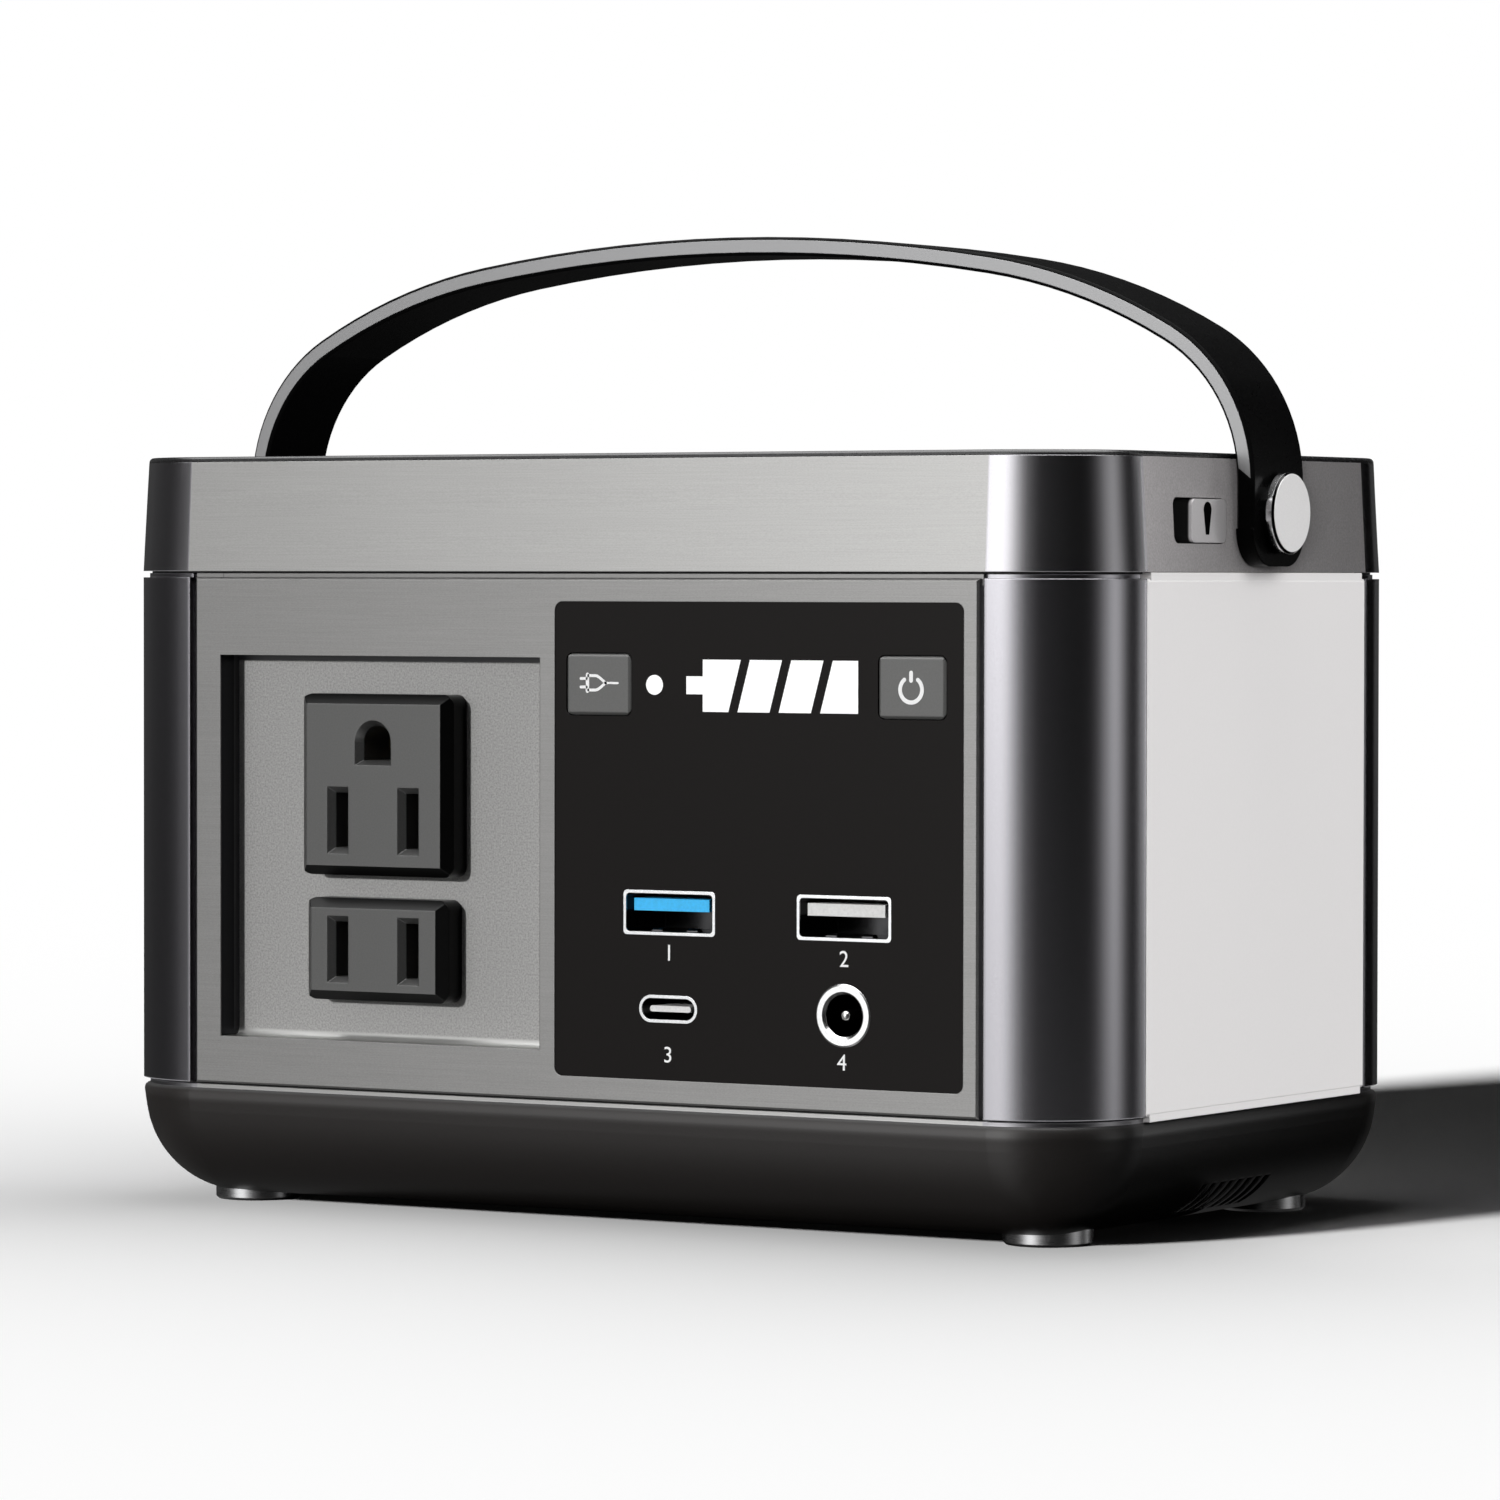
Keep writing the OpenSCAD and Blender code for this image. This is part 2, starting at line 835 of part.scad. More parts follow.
// Push button: bevelled cap, retaining flange behind the face plate, and the stem that works the switch
module push_button(x) {
    flange_y0 = display_rear_y + flange_gap;
    cap_x = button_w / 2;
    cap_z = button_h / 2;
    color("#6e6e6d") {
        intersection() {
            bevel_plate_y(x - cap_x, x + cap_x, button_z - cap_z, button_z + cap_z,
                          button_face_y, flange_y0 + 0.2, button_bevel);
            along_y(button_face_y, flange_y0 + 0.2)
                button_outline(x, 0);
        }
        along_y(flange_y0, flange_y0 + 0.9)
            button_outline(x, button_flange);
        rod_y(plunger_r, flange_y0, board_y - tact_h + 0.2, x, button_z);
    }
}

module ac_button() {
    push_button(ac_button_x);
}

module power_button() {
    push_button(power_button_x);
}

// Switch bodies on the control board, each with the bore that its plunger is pushed into
module tact_switches() {
    color("#2b2b2d")
        for (x = [ac_button_x, power_button_x])
            difference() {
                block([x - 3, board_y - tact_h, button_z - 3], [x + 3, board_y, button_z + 3]);
                rod_y(plunger_r + 0.15, board_y - tact_h - eps,
                      board_y - tact_h + tact_bore_depth, x, button_z);
            }
}

module control_board() {
    color("#1f5b35")
        difference() {
            block([-2, board_y, 24], [64, board_y + board_t, 90]);
            at_board_screws()
                rod_y(board_screw_r + 0.1, board_y - eps, board_y + board_t + eps, 0, 0);
        }
}

usb_wall = 0.45;
usb_back = 0.6;
usb_tongue_w = 12.9;
port_proud = 0.05;

// Folded steel shell with its two contact springs pressed into the floor
module usb_a_shell(x) {
    color("#c9ccd0")
        translate([x, 0, usb_z]) {
            difference() {
                along_y(display_face_y - port_proud, board_y)
                    usb_a_outline(0);
                along_y(display_face_y - eps, board_y - usb_back)
                    usb_a_outline(-usb_wall);
            }
            for (s = [-1, 1])
                intersection() {
                    rod_x(0.9, s * 3 - 0.9, s * 3 + 0.9, display_face_y + 2.2, -usb_h / 2 + 0.1);
                    block([-6, display_face_y, -usb_h / 2 + usb_wall / 2],
                          [6, display_face_y + 4, 0]);
                }
        }
}

module usb_a_tongue(x, tint) {
    color(tint)
        block([x - usb_tongue_w / 2, display_face_y + 0.7, usb_z + 0.25],
              [x + usb_tongue_w / 2, board_y - usb_back, usb_z + 2.05]);
}

module usb_a_shell_1() {
    usb_a_shell(usb_x[0]);
}

module usb_a_tongue_1() {
    usb_a_tongue(usb_x[0], "#2aa4e6");
}

module usb_a_shell_2() {
    usb_a_shell(usb_x[1]);
}

module usb_a_tongue_2() {
    usb_a_tongue(usb_x[1], "#d9dcd6");
}

module usb_c_shell() {
    color("#c9ccd0")
        translate([usb_c_x, 0, usb_c_z])
            difference() {
                along_y(display_face_y - port_proud, board_y)
                    usb_c_outline(0);
                along_y(display_face_y - eps, board_y - usb_back)
                    usb_c_outline(-usb_wall);
            }
}

module usb_c_tongue() {
    color("#e4e4e2")
        translate([usb_c_x, 0, usb_c_z])
            along_y(display_face_y + 0.6, board_y - usb_back)
                round_rect(7, 0.9, 0.4);
}

// Threaded barrel with a rounded lip
module dc_out_barrel() {
    length = board_y - display_face_y;
    color("#d6d7d9")
        translate([dc_x, board_y, dc_z])
            rotate([90, 0, 0])
                rotate_extrude()
                    difference() {
                        polygon([
                            [0, 0], [dc_r, 0], [dc_r, length], [dc_r - 0.25, length + dc_barrel_out],
                            [dc_bore_r + dc_lip_bevel, length + dc_barrel_out],
                            [dc_bore_r, length + dc_barrel_out - dc_lip_bevel],
                            [0, length + dc_barrel_out - dc_lip_bevel]
                        ]);
                        translate([-eps, 1])
                            square([dc_bore_r + eps, length]);
                    }
}

module dc_out_pin() {
    color("#d9c58a") {
        rod_y(dc_pin_r, display_face_y + dc_pin_inset, board_y - 1, dc_x, dc_z);
        translate([dc_x, display_face_y + dc_pin_inset, dc_z])
            sphere(r = dc_pin_r);
    }
}

// ---------- outlets and inverter ----------

// Outlet body: bevelled block that stands in the pan, with its rear through the pan's floor
module outlet_block(w, h, z) {
    intersection() {
        bevel_plate_y(outlet_x - w / 2, outlet_x + w / 2, z - h / 2, z + h / 2,
                      outlet_face_y, pan_floor_y, outlet_bevel);
        along_y(outlet_face_y - eps, pan_floor_y)
            translate([outlet_x, z])
                round_rect(w, h, outlet_corner_r);
    }
    along_y(pan_floor_y, outlet_rear_y)
        translate([outlet_x, z])
            square([w - 2.2, h - 2.2], center = true);
}

clip_y0 = outlet_face_y + 8;
clip_cavity = [4.6, 9];

// Funnel mouth with sloping sides: w0 by h0 at the face, w1 by h1 at the pocket's depth. It reaches from
// low to high times half its height
module funnel(w0, h0, w1, h1, low = -1, high = 1) {
    grow = pocket_reach / pocket_depth;
    y0 = outlet_face_y - pocket_reach;
    y1 = outlet_face_y + pocket_depth;
    half_w = [w0 / 2 + grow * (w0 - w1) / 2, w1 / 2];
    half_h = [h0 / 2 + grow * (h0 - h1) / 2, h1 / 2];
    intersection() {
        translate([0, 0, -h0])
            linear_extrude(2 * h0)
                polygon([[-half_w[0], y0], [half_w[0], y0], [half_w[1], y1], [-half_w[1], y1]]);
        along_x(-w0, w0)
            polygon([
                [y0, low * half_h[0]], [y1, low * half_h[1]],
                [y1, high * half_h[1]], [y0, high * half_h[0]]
            ]);
    }
}

// Funnel, blade slot and rear clip cavity of one blade opening
module blade_cut(x, z) {
    translate([x, 0, z])
        funnel(blade_pocket_w, blade_pocket_h, blade_slot_w, blade_slot_h);
    along_y(outlet_face_y, outlet_rear_y + eps)
        translate([x, z])
            square([blade_slot_w, blade_slot_h], center = true);
    along_y(clip_y0, outlet_rear_y + eps)
        translate([x, z])
            square(clip_cavity, center = true);
}

// D-shaped funnel and hole of the ground pin, and the round cavity of its sleeve
module ground_cut(x, z) {
    grow = pocket_reach / pocket_depth;
    slope = ground_mouth_r - ground_hole_r;
    translate([x, outlet_face_y + pocket_depth, z])
        rotate([90, 0, 0])
            cylinder(h = pocket_depth + pocket_reach,
                     r1 = ground_hole_r, r2 = ground_mouth_r + grow * slope);
    translate([x, 0, z])
        funnel(2 * ground_mouth_r + 0.04, 2 * ground_mouth_drop,
               2 * ground_hole_r + 0.04, 2 * ground_hole_drop, -1, 0);
    along_y(outlet_face_y, clip_y0 + eps)
        translate([x, z]) {
            circle(r = ground_hole_r);
            translate([-ground_hole_r, -ground_hole_drop])
                square([2 * ground_hole_r, ground_hole_drop]);
        }
    rod_y(ground_sleeve_r + 0.05, clip_y0, outlet_rear_y + eps, x, z);
}

module outlet_grounded() {
    color("#646462")
        difference() {
            outlet_block(grounded_size, grounded_size, grounded_z);
            for (s = [-1, 1])
                blade_cut(outlet_x + s * blade_gap / 2, grounded_blade_z);
            ground_cut(outlet_x, ground_pin_z);
        }
}

module outlet_ungrounded() {
    color("#646462")
        difference() {
            outlet_block(plain_w, plain_h, plain_z);
            for (s = [-1, 1])
                blade_cut(outlet_x + s * blade_gap / 2, plain_z);
        }
}

// Brass parts: a folded clip behind each blade slot and a split sleeve behind the ground hole
module outlet_contacts() {
    color("#b8923c") {
        for (s = [-1, 1], z = [grounded_blade_z, plain_z])
            translate([outlet_x + s * blade_gap / 2, 0, z])
                difference() {
                    block([-1.6, clip_y0 + 1, -3.2], [1.6, inverter_y, 3.2]);
                    block([-0.8, clip_y0, -4], [0.8, inverter_y - 3, 4]);
                }
        difference() {
            rod_y(ground_sleeve_r, clip_y0 + 1, inverter_y, outlet_x, ground_pin_z);
            rod_y(ground_sleeve_r - 0.55, clip_y0, inverter_y - 3, outlet_x, ground_pin_z);
            block([outlet_x - 0.3, clip_y0, ground_pin_z - 4],
                  [outlet_x + 0.3, inverter_y - 3, ground_pin_z]);
        }
    }
}

module inverter_board() {
    color("#1f5b35")
        block([-67, inverter_y, 24], [-5, inverter_rear_y, 90]);
}

core_x = -50;
core_z = 42;

// Ferrite frame with a middle leg, standing on the inverter board
module transformer_core() {
    color("#2e2c2b")
        difference() {
            block([core_x - 15, inverter_rear_y, core_z - 14],
                  [core_x + 15, inverter_rear_y + 14, core_z + 14]);
            for (s = [-1, 1])
                translate([core_x + s * 7.5, inverter_rear_y, core_z])
                    cube([8, 60, 18], center = true);
        }
}

// Winding round the middle leg
module transformer_winding() {
    color("#b06a2c")
        difference() {
            along_y(inverter_rear_y + 0.5, inverter_rear_y + 13.5)
                translate([core_x, core_z])
                    round_rect(22, 17.6, 3);
            block([core_x - 3.6, inverter_rear_y - eps, core_z - 10],
                  [core_x + 3.6, inverter_rear_y + 20, core_z + 10]);
        }
}

fin_count = 7;

module heat_sink() {
    color("#a9acb0") {
        block([-28, inverter_rear_y, 30], [-8, inverter_rear_y + 3, 66]);
        for (i = [0 : fin_count - 1])
            block([-28 + i * 3.1, inverter_rear_y + 2.5, 30],
                  [-26.6 + i * 3.1, inverter_rear_y + 14, 66]);
    }
}

module capacitors() {
    color("#23395e")
        for (i = [0 : 3])
            translate([-58 + i * 14, inverter_rear_y, 76])
                rotate([-90, 0, 0])
                    difference() {
                        cylinder(r = 6, h = 15);
                        for (a = [0, 60, 120])
                            rotate(a)
                                translate([-4, -0.2, 14.7])
                                    cube([8, 0.4, 1]);
                    }
}

// ---------- battery pack ----------

function cell_at(i, j) = [
    pack_x + (i - (cell_cols - 1) / 2) * cell_pitch,
    pack_y + (j - (cell_rows - 1) / 2) * cell_pitch
];

module at_cells() {
    for (i = [0 : cell_cols - 1], j = [0 : cell_rows - 1])
        translate(cell_at(i, j))
            children();
}

module battery_cells() {
    color("#3f7fbf")
        at_cells() {
            rod_z(cell_d / 2, cell_z0, cell_z0 + cell_len - 1, 0, 0);
            rod_z(cell_d / 2 - 4.5, cell_z0 + cell_len - 1.5, cell_z0 + cell_len, 0, 0);
        }
}

// Moulded plate with a bore for each cell
module cell_holder(z0) {
    difference() {
        translate([pack_x, pack_y, z0])
            linear_extrude(holder_t)
                round_rect(cell_cols * cell_pitch + 2, cell_rows * cell_pitch + 2, 4);
        at_cells()
            rod_z(cell_d / 2 + 0.1, z0 - eps, z0 + holder_t + eps, 0, 0);
    }
}

module cell_holder_lower() {
    color("#242424")
        cell_holder(cell_z0);
}

bms_z = cell_z0 + cell_len + 3;

module cell_holder_upper() {
    color("#242424") {
        cell_holder(cell_z0 + cell_len - 1 - holder_t);
        for (i = [-2, 2])
            translate([pack_x + i * cell_pitch, pack_y, 0])
                rod_z(2.2, cell_z0 + cell_len - 1.5, bms_z, 0, 0);
    }
}

// Strips across each pair of cells, on top and underneath
module nickel_strips() {
    color("#c8c6bd")
        for (i = [0 : cell_cols - 1])
            for (z = [cell_z0 - strip_t, cell_z0 + cell_len])
                translate([cell_at(i, 0)[0] - 3.5, cell_at(i, 0)[1] - 4, z])
                    cube([7, cell_pitch + 8, strip_t]);
}

module bms_board() {
    color("#1f5b35")
        block([pack_x - 45, pack_y - 14, bms_z], [pack_x + 45, pack_y + 14, bms_z + board_t]);
}

// ---------- fan and charging jack ----------

// Square frame with a round duct, corner holes, and a spider that carries the shaft
module fan_frame() {
    color("#1c1c1d") {
        difference() {
            translate([fan_x1, fan_y, fan_z])
                rotate([90, 0, 90])
                    linear_extrude(fan_t)
                        round_rect(fan_size, fan_size, 3);
            rod_x(19, fan_x1 - eps, fan_x2 + eps, fan_y, fan_z);
            for (sy = [-1, 1], sz = [-1, 1])
                rod_x(fan_screw_r + 0.2, fan_x1 - eps, fan_x2 + eps,
                      fan_y + sy * fan_hole, fan_z + sz * fan_hole);
        }
        intersection() {
            rod_x(19.3, fan_x2 - 1.5, fan_x2, fan_y, fan_z);
            translate([fan_x2 - 0.75, fan_y, fan_z])
                for (a = [30, 150, 270])
                    rotate([a, 0, 0])
                        translate([0, 0, 10])
                            cube([1.5, 2.4, 20], center = true);
        }
        rod_x(fan_hub_r - 0.5, fan_x2 - 1.5, fan_x2, fan_y, fan_z);
        rod_x(fan_shaft_r, fan_x1 + 1.6, fan_x2 - 1, fan_y, fan_z);
    }
}

blade_count = 7;
blade_pitch_angle = 38;

// Hub with seven pitched blades, bored to run on the frame's shaft
module fan_rotor() {
    rotor_x0 = fan_x1 + 1;
    rotor_x1 = fan_x2 - 2;
    color("#2a2a2c")
        difference() {
            union() {
                rod_x(fan_hub_r, rotor_x0, rotor_x1, fan_y, fan_z);
                intersection() {
                    rod_x(fan_tip_r, rotor_x0 + 0.3, rotor_x1 - 0.3, fan_y, fan_z);
                    translate([(rotor_x0 + rotor_x1) / 2, fan_y, fan_z])
                        for (i = [0 : blade_count - 1])
                            rotate([i * 360 / blade_count, 0, 0])
                                translate([0, 0, 8])
                                    rotate([0, 0, blade_pitch_angle])
                                        translate([-6, -0.6, 0])
                                            cube([12, 1.2, 12]);
                }
            }
            rod_x(fan_shaft_r + 0.05, rotor_x0 + 0.5, rotor_x1 + eps, fan_y, fan_z);
        }
}

module fan_screws() {
    color("#b9bcc0")
        for (sy = [-1, 1], sz = [-1, 1]) {
            rod_x(fan_screw_r - screw_bite, -side_x + 3.4, fan_x2,
                  fan_y + sy * fan_hole, fan_z + sz * fan_hole);
            rod_x(2 * fan_screw_r, fan_x2, fan_x2 + 1.4, fan_y + sy * fan_hole, fan_z + sz * fan_hole);
        }
}

// Charging input: round socket with a centre pin, set in the left panel
module dc_in_jack() {
    color("#191919")
        mirror([1, 0, 0]) {
            difference() {
                union() {
                    rod_x(jack_r, side_x - 12, side_x - 0.1, jack_y, jack_z);
                    rod_x(jack_r + 1, flange_x - 1.2, flange_x, jack_y, jack_z);
                }
                rod_x(jack_bore_r, side_x - 10, side_x + eps, jack_y, jack_z);
            }
            rod_x(1, side_x - 11, side_x - 2, jack_y, jack_z);
        }
}

// ---------- lid ----------

// Lid form: four cones and two tapered prisms, moved in by t
module lid_solid(t, z0, z1) {
    low = t + (z0 - lid_bottom) * tan(lid_lean);
    high = t + (z1 - lid_bottom) * tan(lid_lean);
    for (sx = [-1, 1], sy = [-1, 1])
        translate([sx * corner_x, sy * corner_y, z0])
            cylinder(r1 = corner_r - low, r2 = corner_r - high, h = z1 - z0);
    along_x(-corner_x, corner_x)
        polygon([
            [-body_d / 2 + low, z0], [body_d / 2 - low, z0],
            [body_d / 2 - high, z1], [-body_d / 2 + high, z1]
        ]);
    along_y(-corner_y, corner_y)
        polygon([
            [-side_x + low, z0], [side_x - low, z0],
            [side_x - high, z1], [-side_x + high, z1]
        ]);
}

cap_skirt = 3;

// Lid ring with the handle's pivot bosses, the long screws' posts and the slot of the lamp switch
module top_shell() {
    color("#77777a")
        difference() {
            union() {
                difference() {
                    lid_solid(0, lid_bottom, lid_top);
                    lid_solid(wall, lid_bottom - eps, lid_top + eps);
                }
                at_posts()
                    rod_z(post_r, lid_bottom, lid_top - cap_skirt - 0.5, 0, 0);
                for (sx = [-1, 1], sy = [-1, 1])
                    mirror([sx < 0 ? 1 : 0, 0])
                        mirror([0, sy < 0 ? 1 : 0])
                            block([post_x, post_y - 1, lid_bottom],
                                  [side_x - 1.6, post_y + 1, lid_top - cap_skirt - 0.5]);
                for (s = [0, 1])
                    mirror([s, 0])
                        rod_x(5.4, side_x - 6.5, pivot_pad_x, 0, pivot_z);
                for (y = [switch_y0 - 4.4, switch_y1 + 1.6])
                    block([side_x - 6, y, switch_z0], [side_x - 2, y + 2.6, switch_z1]);
            }
            at_posts()
                rod_z(screw_r + screw_bite, lid_bottom - eps, lid_bottom + screw_grip + 1, 0, 0);
            for (s = [0, 1])
                mirror([s, 0])
                    rod_x(screw_r + screw_bite, side_x - 7, side_x + eps, 0, pivot_z);
            along_x(side_x - 4, side_x + eps)
                translate([(switch_y0 + switch_y1) / 2, switch_z])
                    round_rect(switch_y1 - switch_y0, switch_z1 - switch_z0, slot_corner_r);
        }
}

cap_edge_r = 0.7;
cap_inset = lid_draft + 0.02;
dish_depth = 0.6;

// Quarter-round rim section of the cap, of outer radius r
module cap_profile(r) {
    square([r - cap_edge_r, cap_t]);
    square([r, cap_t - cap_edge_r]);
    translate([r - cap_edge_r, cap_t - cap_edge_r])
        intersection() {
            circle(r = cap_edge_r);
            square(cap_edge_r);
        }
}

// Black cap: rounded rim, a shallow dished field on top and a skirt inside the lid ring
module top_cap() {
    rim_r = corner_r - cap_inset;
    color("#1d1c1d")
        difference() {
            union() {
                translate([0, 0, lid_top]) {
                    for (sx = [-1, 1], sy = [-1, 1])
                        translate([sx * corner_x, sy * corner_y, 0])
                            rotate_extrude()
                                cap_profile(rim_r);
                    for (m = [0, 1]) {
                        along_x(-corner_x, corner_x)
                            mirror([m, 0])
                                translate([corner_y - 0.1, 0])
                                    cap_profile(rim_r + 0.1);
                        along_y(-corner_y, corner_y)
                            mirror([m, 0])
                                translate([corner_x - 0.1, 0])
                                    cap_profile(rim_r + 0.1);
                    }
                    block([-corner_x, -corner_y, 0], [corner_x, corner_y, cap_t]);
                }
                difference() {
                    outline_slab(lid_draft + wall + 0.15, lid_top - cap_skirt, lid_top + 0.2);
                    outline_slab(lid_draft + wall + 1.6, lid_top - cap_skirt - eps, lid_top);
                }
                translate([0, 0, lid_top - 1.4])
                    linear_extrude(1.6)
                        round_rect(body_w - 12, body_d - 12, corner_r - 6);
            }
            translate([0, 0, cap_top - dish_depth])
                linear_extrude(dish_depth + eps)
                    round_rect(body_w - 26, body_d - 26, corner_r - 8);
        }
}

// ---------- lamp switch ----------

stem_y = switch_y1 - knob_w / 2 - knob_clear;

// Sliding round-cornered knob with a retaining flange behind the lid wall and a drive stem
module lamp_switch() {
    y1 = switch_y1 - knob_clear;
    y0 = y1 - knob_w;
    color("#77777a") {
        along_x(side_x - 3.6, knob_face_x)
            translate([(y0 + y1) / 2, switch_z])
                round_rect(knob_w, switch_z1 - switch_z0 - 2 * knob_clear, slot_corner_r - knob_clear);
        block([side_x - 4.2, y0 - 0.8, switch_z0 - 0.9],
              [side_x - 3.4, y1 + 0.8, switch_z1 + 0.9]);
        block([side_x - 6.4, stem_y - 1.2, switch_z - 1.2],
              [side_x - 4, stem_y + 1.2, switch_z + 1.2]);
    }
}

// Switch housing with the channel that the stem runs in, held between the lid's two ribs
module lamp_switch_body() {
    mid_y = stem_y - switch_travel / 2;
    color("#232325")
        difference() {
            union() {
                block([side_x - 12, mid_y - 8, switch_z - 3.5], [side_x - 4.6, mid_y + 8, switch_z + 3.5]);
                block([side_x - 7, switch_y0 - 4.6, switch_z - 2.6],
                      [side_x - 6, switch_y1 + 4.4, switch_z + 2.6]);
            }
            block([side_x - 8, mid_y - switch_travel / 2 - 1.6, switch_z - 1.5],
                  [side_x, mid_y + switch_travel / 2 + 1.6, switch_z + 1.5]);
        }
}

// ---------- handle ----------

// Section of the strap: bevelled edges, each with a groove that holds an inlay
module strap_section(x) {
    h = strap_t / 2;
    w = strap_w / 2;
    g = trim_w / 2;
    translate([x, 0])
        polygon([
            [-h, -w + strap_bevel], [-h + strap_bevel, -w], [-g, -w], [-g, -w + trim_depth],
            [g, -w + trim_depth], [g, -w], [h - strap_bevel, -w], [h, -w + strap_bevel],
            [h, w - strap_bevel], [h - strap_bevel, w], [g, w], [g, w - trim_depth],
            [-g, w - trim_depth], [-g, w], [-h + strap_bevel, w], [-h, w - strap_bevel]
        ]);
}

// The same section with no grooves
module plain_section(x) {
    h = strap_t / 2;
    w = strap_w / 2;
    translate([x, 0])
        polygon([
            [-h, -w + strap_bevel], [-h + strap_bevel, -w], [h - strap_bevel, -w],
            [h, -w + strap_bevel], [h, w - strap_bevel], [h - strap_bevel, w],
            [-h + strap_bevel, w], [-h, w - strap_bevel]
        ]);
}

// Section of the inlay in the strap's front edge; side is -1 in front and 1 behind
module trim_section(x, side) {
    w = strap_w / 2;
    translate([x - trim_w / 2 + trim_fit, side > 0 ? w - trim_depth : -w - trim_fit])
        square([trim_w - 2 * trim_fit, trim_depth + trim_fit]);
}

// Point on the ray from a centre at an angle from upright, out at radius r
function on_ray(centre, angle, r) = microns(centre + r * [sin(angle), cos(angle)]);

reach = 9;
crown_in = on_ray(crown_c, crown_end, crown_r - reach);
crown_out = on_ray(crown_c, crown_end, crown_r + reach);
shoulder_in = on_ray(shoulder_c, shoulder_end, shoulder_r - reach);
shoulder_out = on_ray(shoulder_c, shoulder_end, shoulder_r + reach);

// Carries a section round a circle in the XZ plane, and keeps the part inside a four-sided frame
module arc_run(centre, frame) {
    intersection() {
        translate([centre[0], 0, centre[1]])
            rotate([90, 0, 0])
                rotate_extrude($fn = 256)
                    mirror([0, 1])
                        children();
        along_y(-strap_w, strap_w)
            polygon(frame);
    }
}

// Picks the strap's own section (side 0) or one of the inlays
module section_at(x, side) {
    if (side == 0)
        strap_section(x);
    else
        trim_section(x, side);
}

// Arch of one section: crown, shoulders and bends
module handle_arch(side) {
    arc_run(crown_c, [
        [-crown_in[0], crown_in[1]], [-crown_out[0], crown_out[1]], crown_out, crown_in
    ])
        section_at(crown_r, side);
    for (m = [0, 1])
        mirror([m, 0, 0]) {
            arc_run(shoulder_c, [crown_in, crown_out, shoulder_out, shoulder_in])
                section_at(shoulder_r, side);
            bend_run()
                section_at(bend_r, side);
        }
}

// Carries a section round the right-hand bend
module bend_run() {
    arc_run(bend_c, [
        shoulder_in, shoulder_out, [leg_x + reach, bend_c[1]], [leg_x - reach, bend_c[1]]
    ])
        children();
}

// Wedge over the lower end of a bend, below the slanted end of the inlays
module below_trim(gap) {
    slant = (trim_end_in_z - trim_end_out_z) / strap_t;
    mid_z = (trim_end_in_z + trim_end_out_z) / 2 + gap;
    along_y(-strap_w, strap_w)
        polygon([
            [leg_x - 4, bend_c[1] - 2], [leg_x + 4, bend_c[1] - 2],
            [leg_x + 4, mid_z - 4 * slant], [leg_x - 4, mid_z + 4 * slant]
        ]);
}

// Carrying strap: arched bar whose legs end in round-cornered feet bored for the studs
module handle_strap() {
    color("#1b1b1d")
        difference() {
            union() {
                handle_arch(0);
                for (m = [0, 1])
                    mirror([m, 0, 0]) {
                        intersection() {
                            bend_run()
                                plain_section(bend_r);
                            below_trim(0);
                        }
                        translate([0, 0, bend_c[1]])
                            mirror([0, 0, 1])
                                linear_extrude(bend_c[1] - foot_arc_z)
                                    plain_section(leg_x);
                        along_x(strap_in_x, strap_out_x) {
                            translate([-strap_w / 2 + strap_foot_r, strap_foot_z])
                                square([strap_w - 2 * strap_foot_r, strap_foot_r + eps]);
                            for (s = [-1, 1])
                                intersection() {
                                    translate([s * (strap_w / 2 - strap_foot_r), foot_arc_z])
                                        circle(r = strap_foot_r);
                                    translate([-strap_w / 2, strap_foot_z])
                                        square([strap_w, strap_foot_r]);
                                }
                        }
                    }
            }
            for (m = [0, 1])
                mirror([m, 0, 0])
                    rod_x(shoulder_pin_r + pin_gap, strap_in_x - eps, strap_out_x + eps, 0, pivot_z);
        }
}

// One inlay, ending on both sides in a slanted cut above the legs
module handle_trim(side) {
    color("#a9a9aa")
        difference() {
            handle_arch(side);
            for (m = [0, 1])
                mirror([m, 0, 0])
                    below_trim(trim_fit);
        }
}

module handle_trim_front() {
    handle_trim(-1);
}

module handle_trim_rear() {
    handle_trim(1);
}

// Shoulder stud: domed cap, neck, running shoulder through the strap, and threaded shank into the lid
module pivot_stud(s) {
    neck_x = strap_out_x + pin_gap;
    cap_x = neck_x + 0.7;
    color("#dcdcdd")
        mirror([s < 0 ? 1 : 0, 0, 0])
            translate([0, 0, pivot_z])
                rotate([0, 90, 0])
                    rotate_extrude()
                        polygon([
                            [0, side_x - 9.2], [screw_r, side_x - 9.2], [screw_r, strap_in_x - pin_gap],
                            [shoulder_pin_r, strap_in_x - pin_gap], [shoulder_pin_r, neck_x],
                            [4.4, neck_x], [4.4, cap_x], [stud_cap_r - 0.15, cap_x],
                            [stud_cap_r, cap_x + 0.15], [stud_cap_r, cap_x + 1.1],
                            [stud_cap_r - 0.35, cap_x + 1.45], [0, cap_x + 1.45]
                        ]);
}

module pivot_stud_left() {
    pivot_stud(-1);
}

module pivot_stud_right() {
    pivot_stud(1);
}

module pivot_washers() {
    color("#c2c2c4")
        for (s = [0, 1])
            mirror([s, 0, 0])
                difference() {
                    rod_x(5, pivot_pad_x, pivot_pad_x + washer_t - 0.02, 0, pivot_z);
                    rod_x(screw_r + 0.05, side_x - 1, side_x + 1, 0, pivot_z);
                }
}

nut_h = 2.4;

module pivot_nuts() {
    color("#b9bcc0")
        for (s = [0, 1])
            mirror([s, 0, 0])
                difference() {
                    translate([side_x - 6.5 - nut_h, 0, pivot_z])
                        rotate([0, 90, 0])
                            cylinder(r = 3.2, h = nut_h, $fn = 6);
                    rod_x(screw_r + 0.02, side_x - 10, side_x - 6, 0, pivot_z);
                }
}

